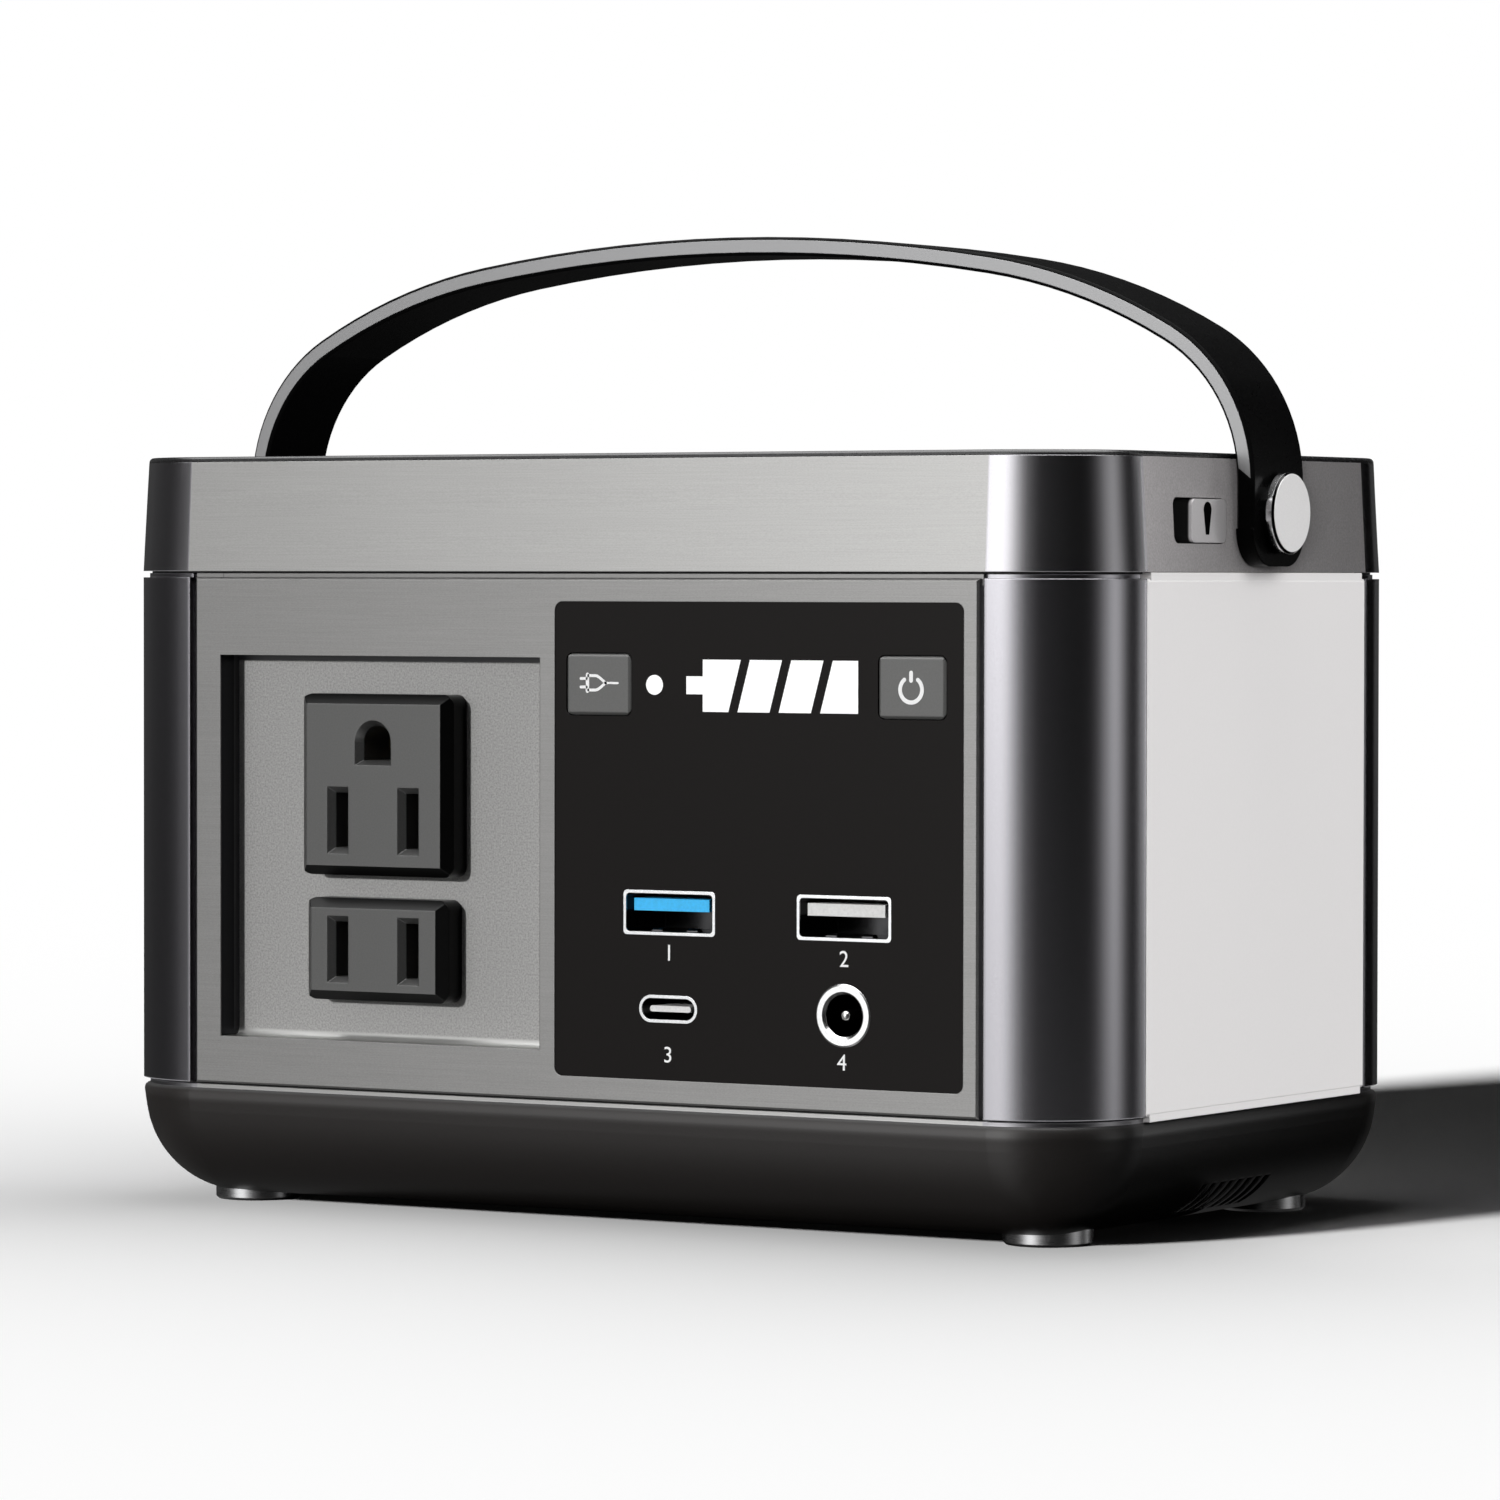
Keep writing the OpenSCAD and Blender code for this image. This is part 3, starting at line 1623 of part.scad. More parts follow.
base_shell();
mid_housing();
top_shell();
top_cap();
lower_gasket();
upper_gasket();
front_panel();
rear_panel();
side_panel_left();
lamp_lens();
lamp_board();
lamp_leds();
display_panel();
battery_gauge();
gauge_leds();
status_light();
ac_button();
power_button();
tact_switches();
control_board();
usb_a_shell_1();
usb_a_tongue_1();
usb_a_shell_2();
usb_a_tongue_2();
usb_c_shell();
usb_c_tongue();
dc_out_barrel();
dc_out_pin();
outlet_grounded();
outlet_ungrounded();
outlet_contacts();
inverter_board();
transformer_core();
transformer_winding();
heat_sink();
capacitors();
battery_cells();
cell_holder_lower();
cell_holder_upper();
nickel_strips();
bms_board();
fan_frame();
fan_rotor();
fan_screws();
dc_in_jack();
lamp_switch();
lamp_switch_body();
handle_strap();
handle_trim_front();
handle_trim_rear();
pivot_stud_left();
pivot_stud_right();
pivot_washers();
pivot_nuts();
foot_front_left();
foot_front_right();
foot_rear_left();
foot_rear_right();
case_screws();
board_screws();
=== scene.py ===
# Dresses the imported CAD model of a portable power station: finishes for every part, the printed marks,
# and a plain white studio round it. Lengths are in metres, in the CAD model's own frame.
import json
import math
import bpy
import numpy as np
from mathutils import Matrix, Vector

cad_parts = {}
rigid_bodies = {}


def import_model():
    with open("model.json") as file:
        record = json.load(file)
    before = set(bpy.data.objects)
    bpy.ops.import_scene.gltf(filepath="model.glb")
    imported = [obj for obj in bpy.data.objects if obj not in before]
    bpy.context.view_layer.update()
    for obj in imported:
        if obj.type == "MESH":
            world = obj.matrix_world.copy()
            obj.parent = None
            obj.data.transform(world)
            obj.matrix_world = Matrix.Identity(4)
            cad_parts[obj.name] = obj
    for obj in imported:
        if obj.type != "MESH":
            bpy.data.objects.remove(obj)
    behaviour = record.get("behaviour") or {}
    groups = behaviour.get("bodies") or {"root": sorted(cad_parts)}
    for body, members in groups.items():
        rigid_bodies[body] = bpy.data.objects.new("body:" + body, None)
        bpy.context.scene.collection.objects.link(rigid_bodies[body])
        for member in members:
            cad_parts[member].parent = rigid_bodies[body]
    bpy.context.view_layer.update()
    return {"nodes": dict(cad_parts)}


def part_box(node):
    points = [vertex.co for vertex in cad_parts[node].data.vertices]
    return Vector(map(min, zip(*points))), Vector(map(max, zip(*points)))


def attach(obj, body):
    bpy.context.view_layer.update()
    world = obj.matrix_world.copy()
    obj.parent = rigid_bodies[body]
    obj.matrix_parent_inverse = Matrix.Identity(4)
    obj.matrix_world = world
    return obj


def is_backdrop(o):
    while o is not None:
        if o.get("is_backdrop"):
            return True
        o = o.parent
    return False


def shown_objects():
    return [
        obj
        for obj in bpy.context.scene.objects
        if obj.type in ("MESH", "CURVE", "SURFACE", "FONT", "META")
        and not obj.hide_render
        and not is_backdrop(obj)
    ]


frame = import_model()
nodes = frame["nodes"]
MM = 0.001


# ---------- camera ----------
# A long lens, looking from the front right and from just above half the housing's height.

camera_azimuth = math.radians(31.646)
camera_elevation = math.radians(1.429)
camera_roll = math.radians(0.083)
camera_distance = 1.05583
camera_target = Vector((-0.00128, 0.0, 0.0691))

camera_back = Vector((math.sin(camera_azimuth) * math.cos(camera_elevation),
                      -math.cos(camera_azimuth) * math.cos(camera_elevation),
                      math.sin(camera_elevation)))
camera_right = Vector((math.cos(camera_azimuth), math.sin(camera_azimuth), 0.0))
camera_up = camera_back.cross(camera_right)
camera_turn = Matrix((camera_right, camera_up, camera_back)).transposed().to_4x4()
lens = bpy.data.cameras.new("camera")
lens.lens = 166.15
lens.sensor_width = 36.0
lens.clip_end = 50.0
camera = bpy.data.objects.new("camera", lens)
camera.matrix_world = (Matrix.Translation(camera_target + camera_distance * camera_back)
                       @ camera_turn @ Matrix.Rotation(camera_roll, 4, "Z"))
bpy.context.scene.collection.objects.link(camera)
bpy.context.scene.camera = camera


# ---------- base tray ----------
# One deep moulding in dark grey ABS with a fine spark-eroded grain, drawn in to a rounded bottom.
# The vent slots run over its lower edge on both sides.

def new_finish(name, roughness, metallic=0.0):
    """An empty Principled material: returns it with its node tree and its shader."""
    material = bpy.data.materials.new(name)
    material.use_nodes = True
    tree = material.node_tree
    shader = tree.nodes["Principled BSDF"]
    shader.inputs["Roughness"].default_value = roughness
    shader.inputs["Metallic"].default_value = metallic
    return material, tree, shader


def grain_noise(tree, size, detail=3.0, roughness=0.6):
    """Noise with features of the given sizes along X, Y and Z, on the piece's own coordinates."""
    coords = tree.nodes.new("ShaderNodeTexCoord")
    mapping = tree.nodes.new("ShaderNodeMapping")
    mapping.inputs["Scale"].default_value = [1.0 / s for s in size]
    noise = tree.nodes.new("ShaderNodeTexNoise")
    noise.inputs["Scale"].default_value = 1.0
    noise.inputs["Detail"].default_value = detail
    noise.inputs["Roughness"].default_value = roughness
    tree.links.new(coords.outputs["Object"], mapping.inputs["Vector"])
    tree.links.new(mapping.outputs["Vector"], noise.inputs["Vector"])
    return noise.outputs["Fac"]


def spread(tree, value, low, high, start=0.3, end=0.7):
    """Takes value from start..end to low..high."""
    remap = tree.nodes.new("ShaderNodeMapRange")
    remap.inputs["From Min"].default_value = start
    remap.inputs["From Max"].default_value = end
    remap.inputs["To Min"].default_value = low
    remap.inputs["To Max"].default_value = high
    tree.links.new(value, remap.inputs["Value"])
    return remap.outputs["Result"]


def feed(tree, socket, value):
    """Links an output to the input socket, or sets the socket to a number, a vector or a colour."""
    if isinstance(value, bpy.types.NodeSocket):
        tree.links.new(value, socket)
    else:
        socket.default_value = value


def mix_values(tree, factor, first, second, kind="FLOAT"):
    """Mixes two outputs or values by a factor from 0 to 1; kind says what they are."""
    mix = tree.nodes.new("ShaderNodeMix")
    mix.data_type = kind
    for name, value in (("Factor", factor), ("A", first), ("B", second)):
        feed(tree, mix.inputs[name], value)
    return mix.outputs["Result"]


def blend_colours(tree, factor, dark, light):
    """Mixes two colours by a factor from 0 to 1."""
    pair = [(*colour, 1.0) if isinstance(colour, tuple) else colour for colour in (dark, light)]
    return mix_values(tree, factor, *pair, kind="RGBA")


def shaded_colour(tree, factor, colour, shade):
    """The colour, moved by the part shade either way as factor goes from 0 to 1."""
    return blend_colours(tree, factor, tuple(c * (1 - shade) for c in colour),
                         tuple(c * (1 + shade) for c in colour))


def even_grain(tree, size):
    """Noise with features of one size, 0 to 1."""
    return spread(tree, grain_noise(tree, (size, size, size)), 0, 1)


def broken_edge(tree, radius):
    """The surface's normal, with its corners broken to the radius."""
    bevel = tree.nodes.new("ShaderNodeBevel")
    bevel.samples = 6
    bevel.inputs["Radius"].default_value = radius
    return bevel.outputs["Normal"]


def relief(tree, shader, height, depth, edge=0.0, normal=None):
    """Bumps the surface by height times depth, over a given normal or over corners broken to edge."""
    bump = tree.nodes.new("ShaderNodeBump")
    bump.inputs["Distance"].default_value = depth
    tree.links.new(height, bump.inputs["Height"])
    if edge:
        normal = broken_edge(tree, edge)
    if normal is not None:
        tree.links.new(normal, bump.inputs["Normal"])
    tree.links.new(bump.outputs["Normal"], shader.inputs["Normal"])


def finish(name, colour, roughness, metallic=0.0, grain=(0.4, 0.4, 0.4), shade=0.08,
           rough_spread=0.04, depth=0.004, edge=0.15, specular=0.5):
    """Plain finish: noise with features of grain millimetres moves the colour by the part shade either
    way, the roughness by rough_spread and the surface by depth millimetres, with edges broken to edge."""
    material, tree, shader = new_finish(name, roughness, metallic)
    noise = grain_noise(tree, [g * MM for g in grain])
    tree.links.new(shaded_colour(tree, spread(tree, noise, 0, 1), colour, shade), shader.inputs["Base Color"])
    rough = spread(tree, noise, roughness - rough_spread, roughness + rough_spread)
    tree.links.new(rough, shader.inputs["Roughness"])
    shader.inputs["Specular IOR Level"].default_value = specular
    relief(tree, shader, noise, depth * MM, edge * MM)
    return material


def dress(material, *names):
    """Gives a CAD node, or several, one material."""
    for name in names:
        mesh = nodes[name].data
        mesh.materials.clear()
        mesh.materials.append(material)


def axes_of(tree):
    """The piece's own X, Y and Z at the shaded point, as three sockets."""
    coords = tree.nodes.new("ShaderNodeTexCoord")
    axes = tree.nodes.new("ShaderNodeSeparateXYZ")
    tree.links.new(coords.outputs["Object"], axes.inputs[0])
    return axes.outputs


def calculate(tree, operation, first, second=0.0):
    """One Math node; its inputs are outputs of others or numbers."""
    node = tree.nodes.new("ShaderNodeMath")
    node.operation = operation
    for socket, value in zip(node.inputs, (first, second)):
        feed(tree, socket, value)
    return node.outputs[0]


def vector_math(tree, operation, first, second=(0.0, 0.0, 0.0)):
    """One Vector Math node; its inputs are outputs of others or number triples."""
    node = tree.nodes.new("ShaderNodeVectorMath")
    node.operation = operation
    for socket, value in zip(node.inputs, (first, second)):
        feed(tree, socket, value)
    return node.outputs[0]


# Above its rim the tray carries the seam's tongue, painted like the panel or the column over it.
seam_height = 0.95 * MM
tray_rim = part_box("mid_housing")[0].z - seam_height
tongue_starts = tray_rim + 0.02 * MM
panel_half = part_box("front_panel")[1].x
rim_highlight_width = 0.4 * MM
tray_grey = (0.0165, 0.0146, 0.0138)
rim_highlight_grey = (0.2, 0.2, 0.2)
tongue_silver = (0.42, 0.417, 0.41)
tongue_gunmetal = (0.33, 0.325, 0.34)
tray_grain_size = 0.25 * MM
tray_grain_depth = 0.002 * MM
tray_edge = 0.3 * MM

base_plastic, base_tree, base_shader = new_finish("base_plastic", 0.4)
base_axes = axes_of(base_tree)
base_grain = even_grain(base_tree, tray_grain_size)
on_tongue = calculate(base_tree, "GREATER_THAN", base_axes["Z"], tongue_starts)
past_panel = calculate(base_tree, "GREATER_THAN", calculate(base_tree, "ABSOLUTE", base_axes["X"]),
                       panel_half)
tongue_colour = blend_colours(base_tree, past_panel, tongue_silver, tongue_gunmetal)
# Painted highlight: a lighter, metallic grey band along the top of the rim.
on_rim_highlight = spread(base_tree, base_axes["Z"], 0, 0.5, tray_rim - rim_highlight_width, tray_rim)
plastic_colour = blend_colours(base_tree, on_rim_highlight,
                               shaded_colour(base_tree, base_grain, tray_grey, 0.1), rim_highlight_grey)
base_tree.links.new(blend_colours(base_tree, on_tongue, plastic_colour, tongue_colour),
                    base_shader.inputs["Base Color"])
base_tree.links.new(calculate(base_tree, "MAXIMUM", on_tongue, on_rim_highlight), base_shader.inputs["Metallic"])
base_tree.links.new(spread(base_tree, base_grain, 0.3, 0.36, 0, 1), base_shader.inputs["Roughness"])

# The wall rolls inwards towards the rim: its lean, as a slope, is a straight rise with the way up plus one
# with the square of it. Only the shading rolls; the solid's wall stays as it is.
roll_reach = 2.3 * MM
roll_rise = 0.2
roll_end = 0.35
roll_fade = 0.4
way_up = spread(base_tree, base_axes["Z"], 0, 1, tray_rim - roll_reach, tray_rim)
lean = calculate(base_tree, "ADD", calculate(base_tree, "MULTIPLY", way_up, roll_rise),
                 calculate(base_tree, "MULTIPLY", calculate(base_tree, "POWER", way_up, 2.0), roll_end))
outwards = base_tree.nodes.new("ShaderNodeNewGeometry").outputs["Normal"]
level = vector_math(base_tree, "NORMALIZE", vector_math(base_tree, "MULTIPLY", outwards, (1.0, 1.0, 0.0)))
upwards = base_tree.nodes.new("ShaderNodeCombineXYZ")
base_tree.links.new(lean, upwards.inputs["Z"])
rolled = vector_math(base_tree, "NORMALIZE", vector_math(base_tree, "ADD", level, upwards.outputs[0]))
on_roll = calculate(base_tree, "MULTIPLY", spread(base_tree, way_up, 0, 1, 0.0, roll_fade),
                    calculate(base_tree, "SUBTRACT", 1.0, on_tongue))
wall_normal = mix_values(base_tree, on_roll, broken_edge(base_tree, tray_edge), rolled, kind="VECTOR")
relief(base_tree, base_shader, base_grain, tray_grain_depth, normal=wall_normal)
dress(base_plastic, "base_shell")


# ---------- feet and case screws ----------
# Turned aluminium discs, each held by the long screw that comes up through it and clamps the case.

foot_metal = finish("foot_metal", (0.5, 0.5, 0.505), 0.3, metallic=1.0, grain=(2.0, 2.0, 0.06),
                    shade=0.12, depth=0.002)
dress(foot_metal, "foot_front_left", "foot_front_right", "foot_rear_left", "foot_rear_right")

screw_steel = finish("screw_steel", (0.52, 0.53, 0.54), 0.3, metallic=1.0, grain=(0.6, 0.6, 0.6))
dress(screw_steel, "case_screws", "fan_screws", "board_screws", "pivot_nuts", "pivot_washers")


# ---------- middle housing and seams ----------
# The moulded ring with the four corner columns, sprayed in a dark metallic lacquer under a clear coat,
# and the thin black rubber rings in the seams above and below it.

def lacquer(name, colour, roughness):
    """Metallic lacquer: fine flake under a gloss coat varies the colour from grain to grain."""
    return finish(name, colour, roughness, metallic=1.0, grain=(0.12, 0.12, 0.12), shade=0.08,
                  rough_spread=0.02, depth=0.0004, edge=0.25)


housing_gunmetal = lacquer("housing_gunmetal", (0.3, 0.295, 0.313), 0.2)
dress(housing_gunmetal, "mid_housing", "side_panel_left")

gasket_rubber = finish("gasket_rubber", (0.006, 0.006, 0.006), 0.7, depth=0.002, edge=0.05)
dress(gasket_rubber, "lower_gasket", "upper_gasket")


# ---------- front and rear panels ----------
# Pressed plates sprayed silver and brushed lengthways; the floor of the outlet pan is left with the
# coarser sprayed grain that a brush can't reach.

def hairlines(tree, length=14.0, width=0.09):
    """Brushed grain, 0 to 1: long hairlines along X and Y with short flecks among them."""
    hair = grain_noise(tree, (length * MM, length * MM, width * MM), detail=4.0, roughness=0.7)
    fleck = grain_noise(tree, (0.35 * MM, 0.35 * MM, 0.12 * MM), detail=2.0)
    return calculate(tree, "ADD", spread(tree, hair, 0, 0.5), spread(tree, fleck, 0, 0.5))


panel_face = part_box("front_panel")[0].y
pan_grain_starts = abs(panel_face) - 3.5 * MM
wall_starts = abs(panel_face) - 0.2 * MM
panel_colour = (0.232, 0.23, 0.226)
pan_colour = (0.325, 0.322, 0.316)
hairline_shade = 0.16
pan_shade = 0.28
ledge_highlight_colour = (0.5, 0.5, 0.49)
ledge_metal = 0.8
shade_colour = (0.012, 0.012, 0.014)
pan_left_wall = -63.5 * MM
wall_reach = 0.03 * MM
pan_cove_top = 27.2 * MM
cove_fade = 0.4 * MM
pan_top = 83.65 * MM
top_shade = 0.85 * MM

panel_silver, panel_tree, panel_shader = new_finish("panel_silver", 0.36, 1.0)
panel_axes = axes_of(panel_tree)
panel_lines = hairlines(panel_tree)
panel_blast = even_grain(panel_tree, 0.3 * MM)
panel_depth = calculate(panel_tree, "ABSOLUTE", panel_axes["Y"])
in_pan = calculate(panel_tree, "LESS_THAN", panel_depth, pan_grain_starts)
panel_lines_colour = shaded_colour(panel_tree, panel_lines, panel_colour, hairline_shade)
panel_blast_colour = shaded_colour(panel_tree, panel_blast, pan_colour, pan_shade)
pan_colours = blend_colours(panel_tree, in_pan, panel_lines_colour, panel_blast_colour)
# Painted shade on the pan's left wall, a painted shadow line under its top edge and a painted highlight on
# the cove at its foot
wall_distance = calculate(panel_tree, "ABSOLUTE",
                          calculate(panel_tree, "SUBTRACT", panel_axes["X"], pan_left_wall))
on_shaded_wall = calculate(panel_tree, "MULTIPLY", calculate(panel_tree, "LESS_THAN", wall_distance, wall_reach),
                    calculate(panel_tree, "LESS_THAN", panel_depth, wall_starts))
in_top_shadow = calculate(panel_tree, "MULTIPLY",
                      calculate(panel_tree, "GREATER_THAN", panel_axes["Z"], pan_top - top_shade), in_pan)
in_shade = calculate(panel_tree, "MAXIMUM", on_shaded_wall, in_top_shadow)
# Painted highlight: the cove at the pan's foot is lighter and more metallic.
on_ledge_highlight = calculate(panel_tree, "MULTIPLY", in_pan,
                     spread(panel_tree, panel_axes["Z"], 1, 0, pan_cove_top - cove_fade, pan_cove_top))
pan_colours = blend_colours(panel_tree, on_ledge_highlight, pan_colours, ledge_highlight_colour)
panel_tree.links.new(blend_colours(panel_tree, in_shade, pan_colours, shade_colour),
                     panel_shader.inputs["Base Color"])
pan_metal = mix_values(panel_tree, on_ledge_highlight, 0.0, ledge_metal)
panel_rough = mix_values(panel_tree, in_pan, spread(panel_tree, panel_lines, 0.33, 0.41, 0, 1),
                         spread(panel_tree, panel_blast, 0.4, 0.5, 0, 1))
panel_tree.links.new(panel_rough, panel_shader.inputs["Roughness"])
panel_tree.links.new(mix_values(panel_tree, in_pan, 1.0, pan_metal), panel_shader.inputs["Metallic"])
relief(panel_tree, panel_shader, mix_values(panel_tree, in_pan, panel_lines, panel_blast), 0.002 * MM,
       0.15 * MM)
dress(panel_silver, "front_panel", "rear_panel")


# ---------- area lamp ----------
# The whole right side is one milky diffuser, moulded in frosted polycarbonate, in front of a white
# board of LEDs.

lamp_diffuser = finish("lamp_diffuser", (0.73, 0.715, 0.715), 0.5, grain=(0.5, 0.5, 0.5), shade=0.01,
                       depth=0.002, edge=0.2)
dress(lamp_diffuser, "lamp_lens")

board_white = finish("board_white", (0.8, 0.79, 0.75), 0.4)
dress(board_white, "lamp_board")
led_yellow = finish("led_yellow", (0.85, 0.72, 0.25), 0.25, grain=(0.2, 0.2, 0.2))
dress(led_yellow, "lamp_leds", "gauge_leds")


# ---------- display and indicators ----------
# A gloss black face plate; the battery gauge and the status light are milky windows let into it, lit
# from behind.

display_black = finish("display_black", (0.0056, 0.0047, 0.0044), 0.34, grain=(0.3, 0.3, 0.3),
                       depth=0.0005, edge=0.12, specular=0.1)
dress(display_black, "display_panel")

indicator_white = finish("indicator_white", (0.78, 0.78, 0.78), 0.4, shade=0.01, depth=0.001, edge=0.05)
indicator_shader = indicator_white.node_tree.nodes["Principled BSDF"]
indicator_shader.inputs["Emission Color"].default_value = (1.0, 1.0, 1.0, 1.0)
indicator_shader.inputs["Emission Strength"].default_value = 0.3
dress(indicator_white, "battery_gauge", "status_light")


# ---------- buttons and their printed signs ----------
# Satin grey keycaps with a plug sign and a power sign pad-printed in white.

button_grey = finish("button_grey", (0.096, 0.096, 0.094), 0.36, grain=(0.2, 0.2, 0.2), depth=0.002,
                     edge=0.3)
dress(button_grey, "ac_button", "power_button")

print_height = 0.03 * MM
print_white = finish("print_white", (0.85, 0.85, 0.85), 0.5, grain=(0.1, 0.1, 0.1), shade=0.02,
                     depth=0.001, edge=0.0)


def new_piece(name, points, faces, material, body, slot):
    """A closed mesh piece from points and faces, riding on a body."""
    mesh = bpy.data.meshes.new(name)
    mesh.from_pydata([tuple(p) for p in points], [], [tuple(f) for f in faces])
    mesh.validate()
    mesh.materials.append(material)
    piece = bpy.data.objects.new(name, mesh)
    bpy.context.scene.collection.objects.link(piece)
    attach(piece, body)


def ink_stroke(path, width, face_y, round_ends=8):
    """Raised line of ink on a face at y: a path of (x, z) points is widened by half its width to each
    side and closed with half-round ends, and that outline is carried outwards by the ink's height.
    Returns (points, faces)."""
    path = np.asarray(path, float)
    along = np.gradient(path, axis=0)
    along /= np.linalg.norm(along, axis=1)[:, None]
    across = np.stack([-along[:, 1], along[:, 0]], 1) * width / 2
    turn = np.linspace(0, np.pi, round_ends)[1:-1, None]
    end_cap = path[-1] + np.cos(turn) * across[-1] + np.sin(turn) * along[-1] * width / 2
    start_cap = path[0] - np.cos(turn) * across[0] - np.sin(turn) * along[0] * width / 2
    outline = np.concatenate([path + across, end_cap, (path - across)[::-1], start_cap])
    count = len(outline)
    layers = [np.insert(outline, 1, y, axis=1) for y in (face_y - print_height, face_y)]
    points = np.concatenate(layers)
    ring = np.arange(count)
    nxt = (ring + 1) % count
    sides = np.stack([ring, nxt, nxt + count, ring + count], 1)
    # The long outline is capped by quads between its two long sides, so it stays free of concave faces.
    n = len(path)
    left = np.arange(n)
    right = n + len(turn) + (n - 1 - np.arange(n))
    strip = np.stack([left[:-1], left[1:], right[1:], right[:-1]], 1)
    end_fan = list(range(n - 1, n + len(turn) + 1))
    start_fan = list(range(2 * n + len(turn) - 1, count)) + [0]
    front = [list(q[::-1]) for q in strip] + [end_fan[::-1], start_fan[::-1]]
    back = [[i + count for i in reversed(f)] for f in front]
    return points, [list(s) for s in sides] + front + back


def print_sign(name, strokes, body):
    """Joins several ink strokes into one printed sign."""
    points, faces, start = [], [], 0
    for stroke_points, stroke_faces in strokes:
        points.append(stroke_points)
        faces += [[i + start for i in f] for f in stroke_faces]
        start += len(stroke_points)
    new_piece(name, np.concatenate(points), faces, print_white, body, "indicator_white")


def arc_path(centre, radius, start_deg, end_deg, steps=40):
    """Points along a circle from start to end, in degrees from +x towards +z."""
    angle = np.radians(np.linspace(start_deg, end_deg, steps))
    return np.stack([centre[0] + radius * np.cos(angle), centre[1] + radius * np.sin(angle)], 1)


def straight(start, end, steps=2):
    """Evenly spaced points from start to end."""
    return np.linspace(start, end, steps)


ink_width = 0.6 * MM
power_low, power_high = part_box("power_button")
ac_low, ac_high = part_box("ac_button")
power_middle = np.array([(power_low.x + power_high.x) / 2, (power_low.z + power_high.z) / 2])
ac_middle = np.array([(ac_low.x + ac_high.x) / 2, (ac_low.z + ac_high.z) / 2])
button_face = power_low.y

power_ring_r = 1.8 * MM
ring_start = 128
ring_end = 412
stem_low = 1.3
stem_high = 2.42
power_centre = power_middle + np.array([-0.1, -0.3]) * MM
print_sign("power_sign", [
    ink_stroke(arc_path(power_centre, power_ring_r, ring_start, ring_end), ink_width, button_face),
    ink_stroke(straight(power_centre + np.array([0, stem_low]) * MM,
                        power_centre + np.array([0, stem_high]) * MM), ink_width, button_face),
], "power_button")

plug_axis = 0.2
plug_half = 1.05
plug_tip = 1.3
plug_ink = 0.42 * MM
plate_ink = plug_ink * 1.35
cord_ink = plug_ink * 0.75
plate_x = -1.85
plate_half = 1.2
cord_end = 3.4
prong_out = -3.0
prong_in = -2.0
prong_z = 0.62


def plug_path(*places):
    """A path on the plug sign: places in millimetres from the button's middle and the plug's axis."""
    return np.array([ac_middle + np.array([x, z + plug_axis]) * MM for x, z in places])


plug_shoulder = [(-1.7, plug_half), (-0.5, plug_half), (-0.15, plug_half - 0.06), (0.2, plug_half - 0.25),
                 (plug_tip, 0.0)]
print_sign("plug_sign", [
    ink_stroke(plug_path((plate_x, -plate_half), (plate_x, plate_half)), plate_ink, button_face),
    ink_stroke(plug_path(*plug_shoulder), plug_ink, button_face),
    ink_stroke(plug_path(*[(x, -z) for x, z in plug_shoulder[::-1]]), plug_ink, button_face),
    ink_stroke(plug_path((plug_tip, 0.0), (cord_end, 0.0)), cord_ink, button_face),
    ink_stroke(plug_path((prong_out, prong_z), (prong_in, prong_z)), plug_ink, button_face),
    ink_stroke(plug_path((prong_out, -prong_z), (prong_in, -prong_z)), plug_ink, button_face),
], "ac_button")


# ---------- port numbers ----------
# The ports are numbered 1 to 4 in white pad print under each of them.

number_height = 2.3 * MM
display_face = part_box("display_panel")[0].y


def printed_number(name, text, x, z):
    """A numeral in thin raised ink, centred at x and z on the display's face."""
    curve = bpy.data.curves.new(name, "FONT")
    curve.body = text
    curve.align_x = "CENTER"
    curve.align_y = "CENTER"
    curve.extrude = 0.5
    letter = bpy.data.objects.new(name + "_letter", curve)
    bpy.context.scene.collection.objects.link(letter)
    bpy.context.view_layer.update()
    shape = bpy.data.meshes.new_from_object(letter.evaluated_get(bpy.context.evaluated_depsgraph_get()))
    bpy.data.objects.remove(letter)
    flat = np.zeros(len(shape.vertices) * 3, np.float32)
    shape.vertices.foreach_get("co", flat)
    flat = flat.reshape(-1, 3)
    scale = number_height / np.ptp(flat[:, 1])
    placed = np.stack([x + (flat[:, 0] - flat[:, 0].mean()) * scale,
                       display_face - (flat[:, 2] + 0.5) * print_height,
                       z + (flat[:, 1] - (flat[:, 1].min() + flat[:, 1].max()) / 2) * scale], 1)
    shape.vertices.foreach_set("co", placed.astype(np.float32).ravel())
    shape.materials.clear()
    shape.materials.append(print_white)
    shape.update()
    piece = bpy.data.objects.new(name, shape)
    bpy.context.scene.collection.objects.link(piece)
    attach(piece, "housing")


def middle_x(node):
    """The middle of a node's width."""
    low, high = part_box(node)
    return (low.x + high.x) / 2


usb_number_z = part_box("usb_a_shell_1")[0].z - 2.5 * MM
lower_number_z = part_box("usb_c_shell")[0].z - 4.6 * MM
printed_number("number_1", "1", middle_x("usb_a_shell_1"), usb_number_z)
printed_number("number_2", "2", middle_x("usb_a_shell_2"), usb_number_z)
printed_number("number_3", "3", middle_x("usb_c_shell"), lower_number_z)
printed_number("number_4", "4", middle_x("dc_out_barrel"), lower_number_z)


# ---------- charging ports ----------
# Folded bright steel shells round the USB tongues, and a nickel-plated barrel for the DC output.

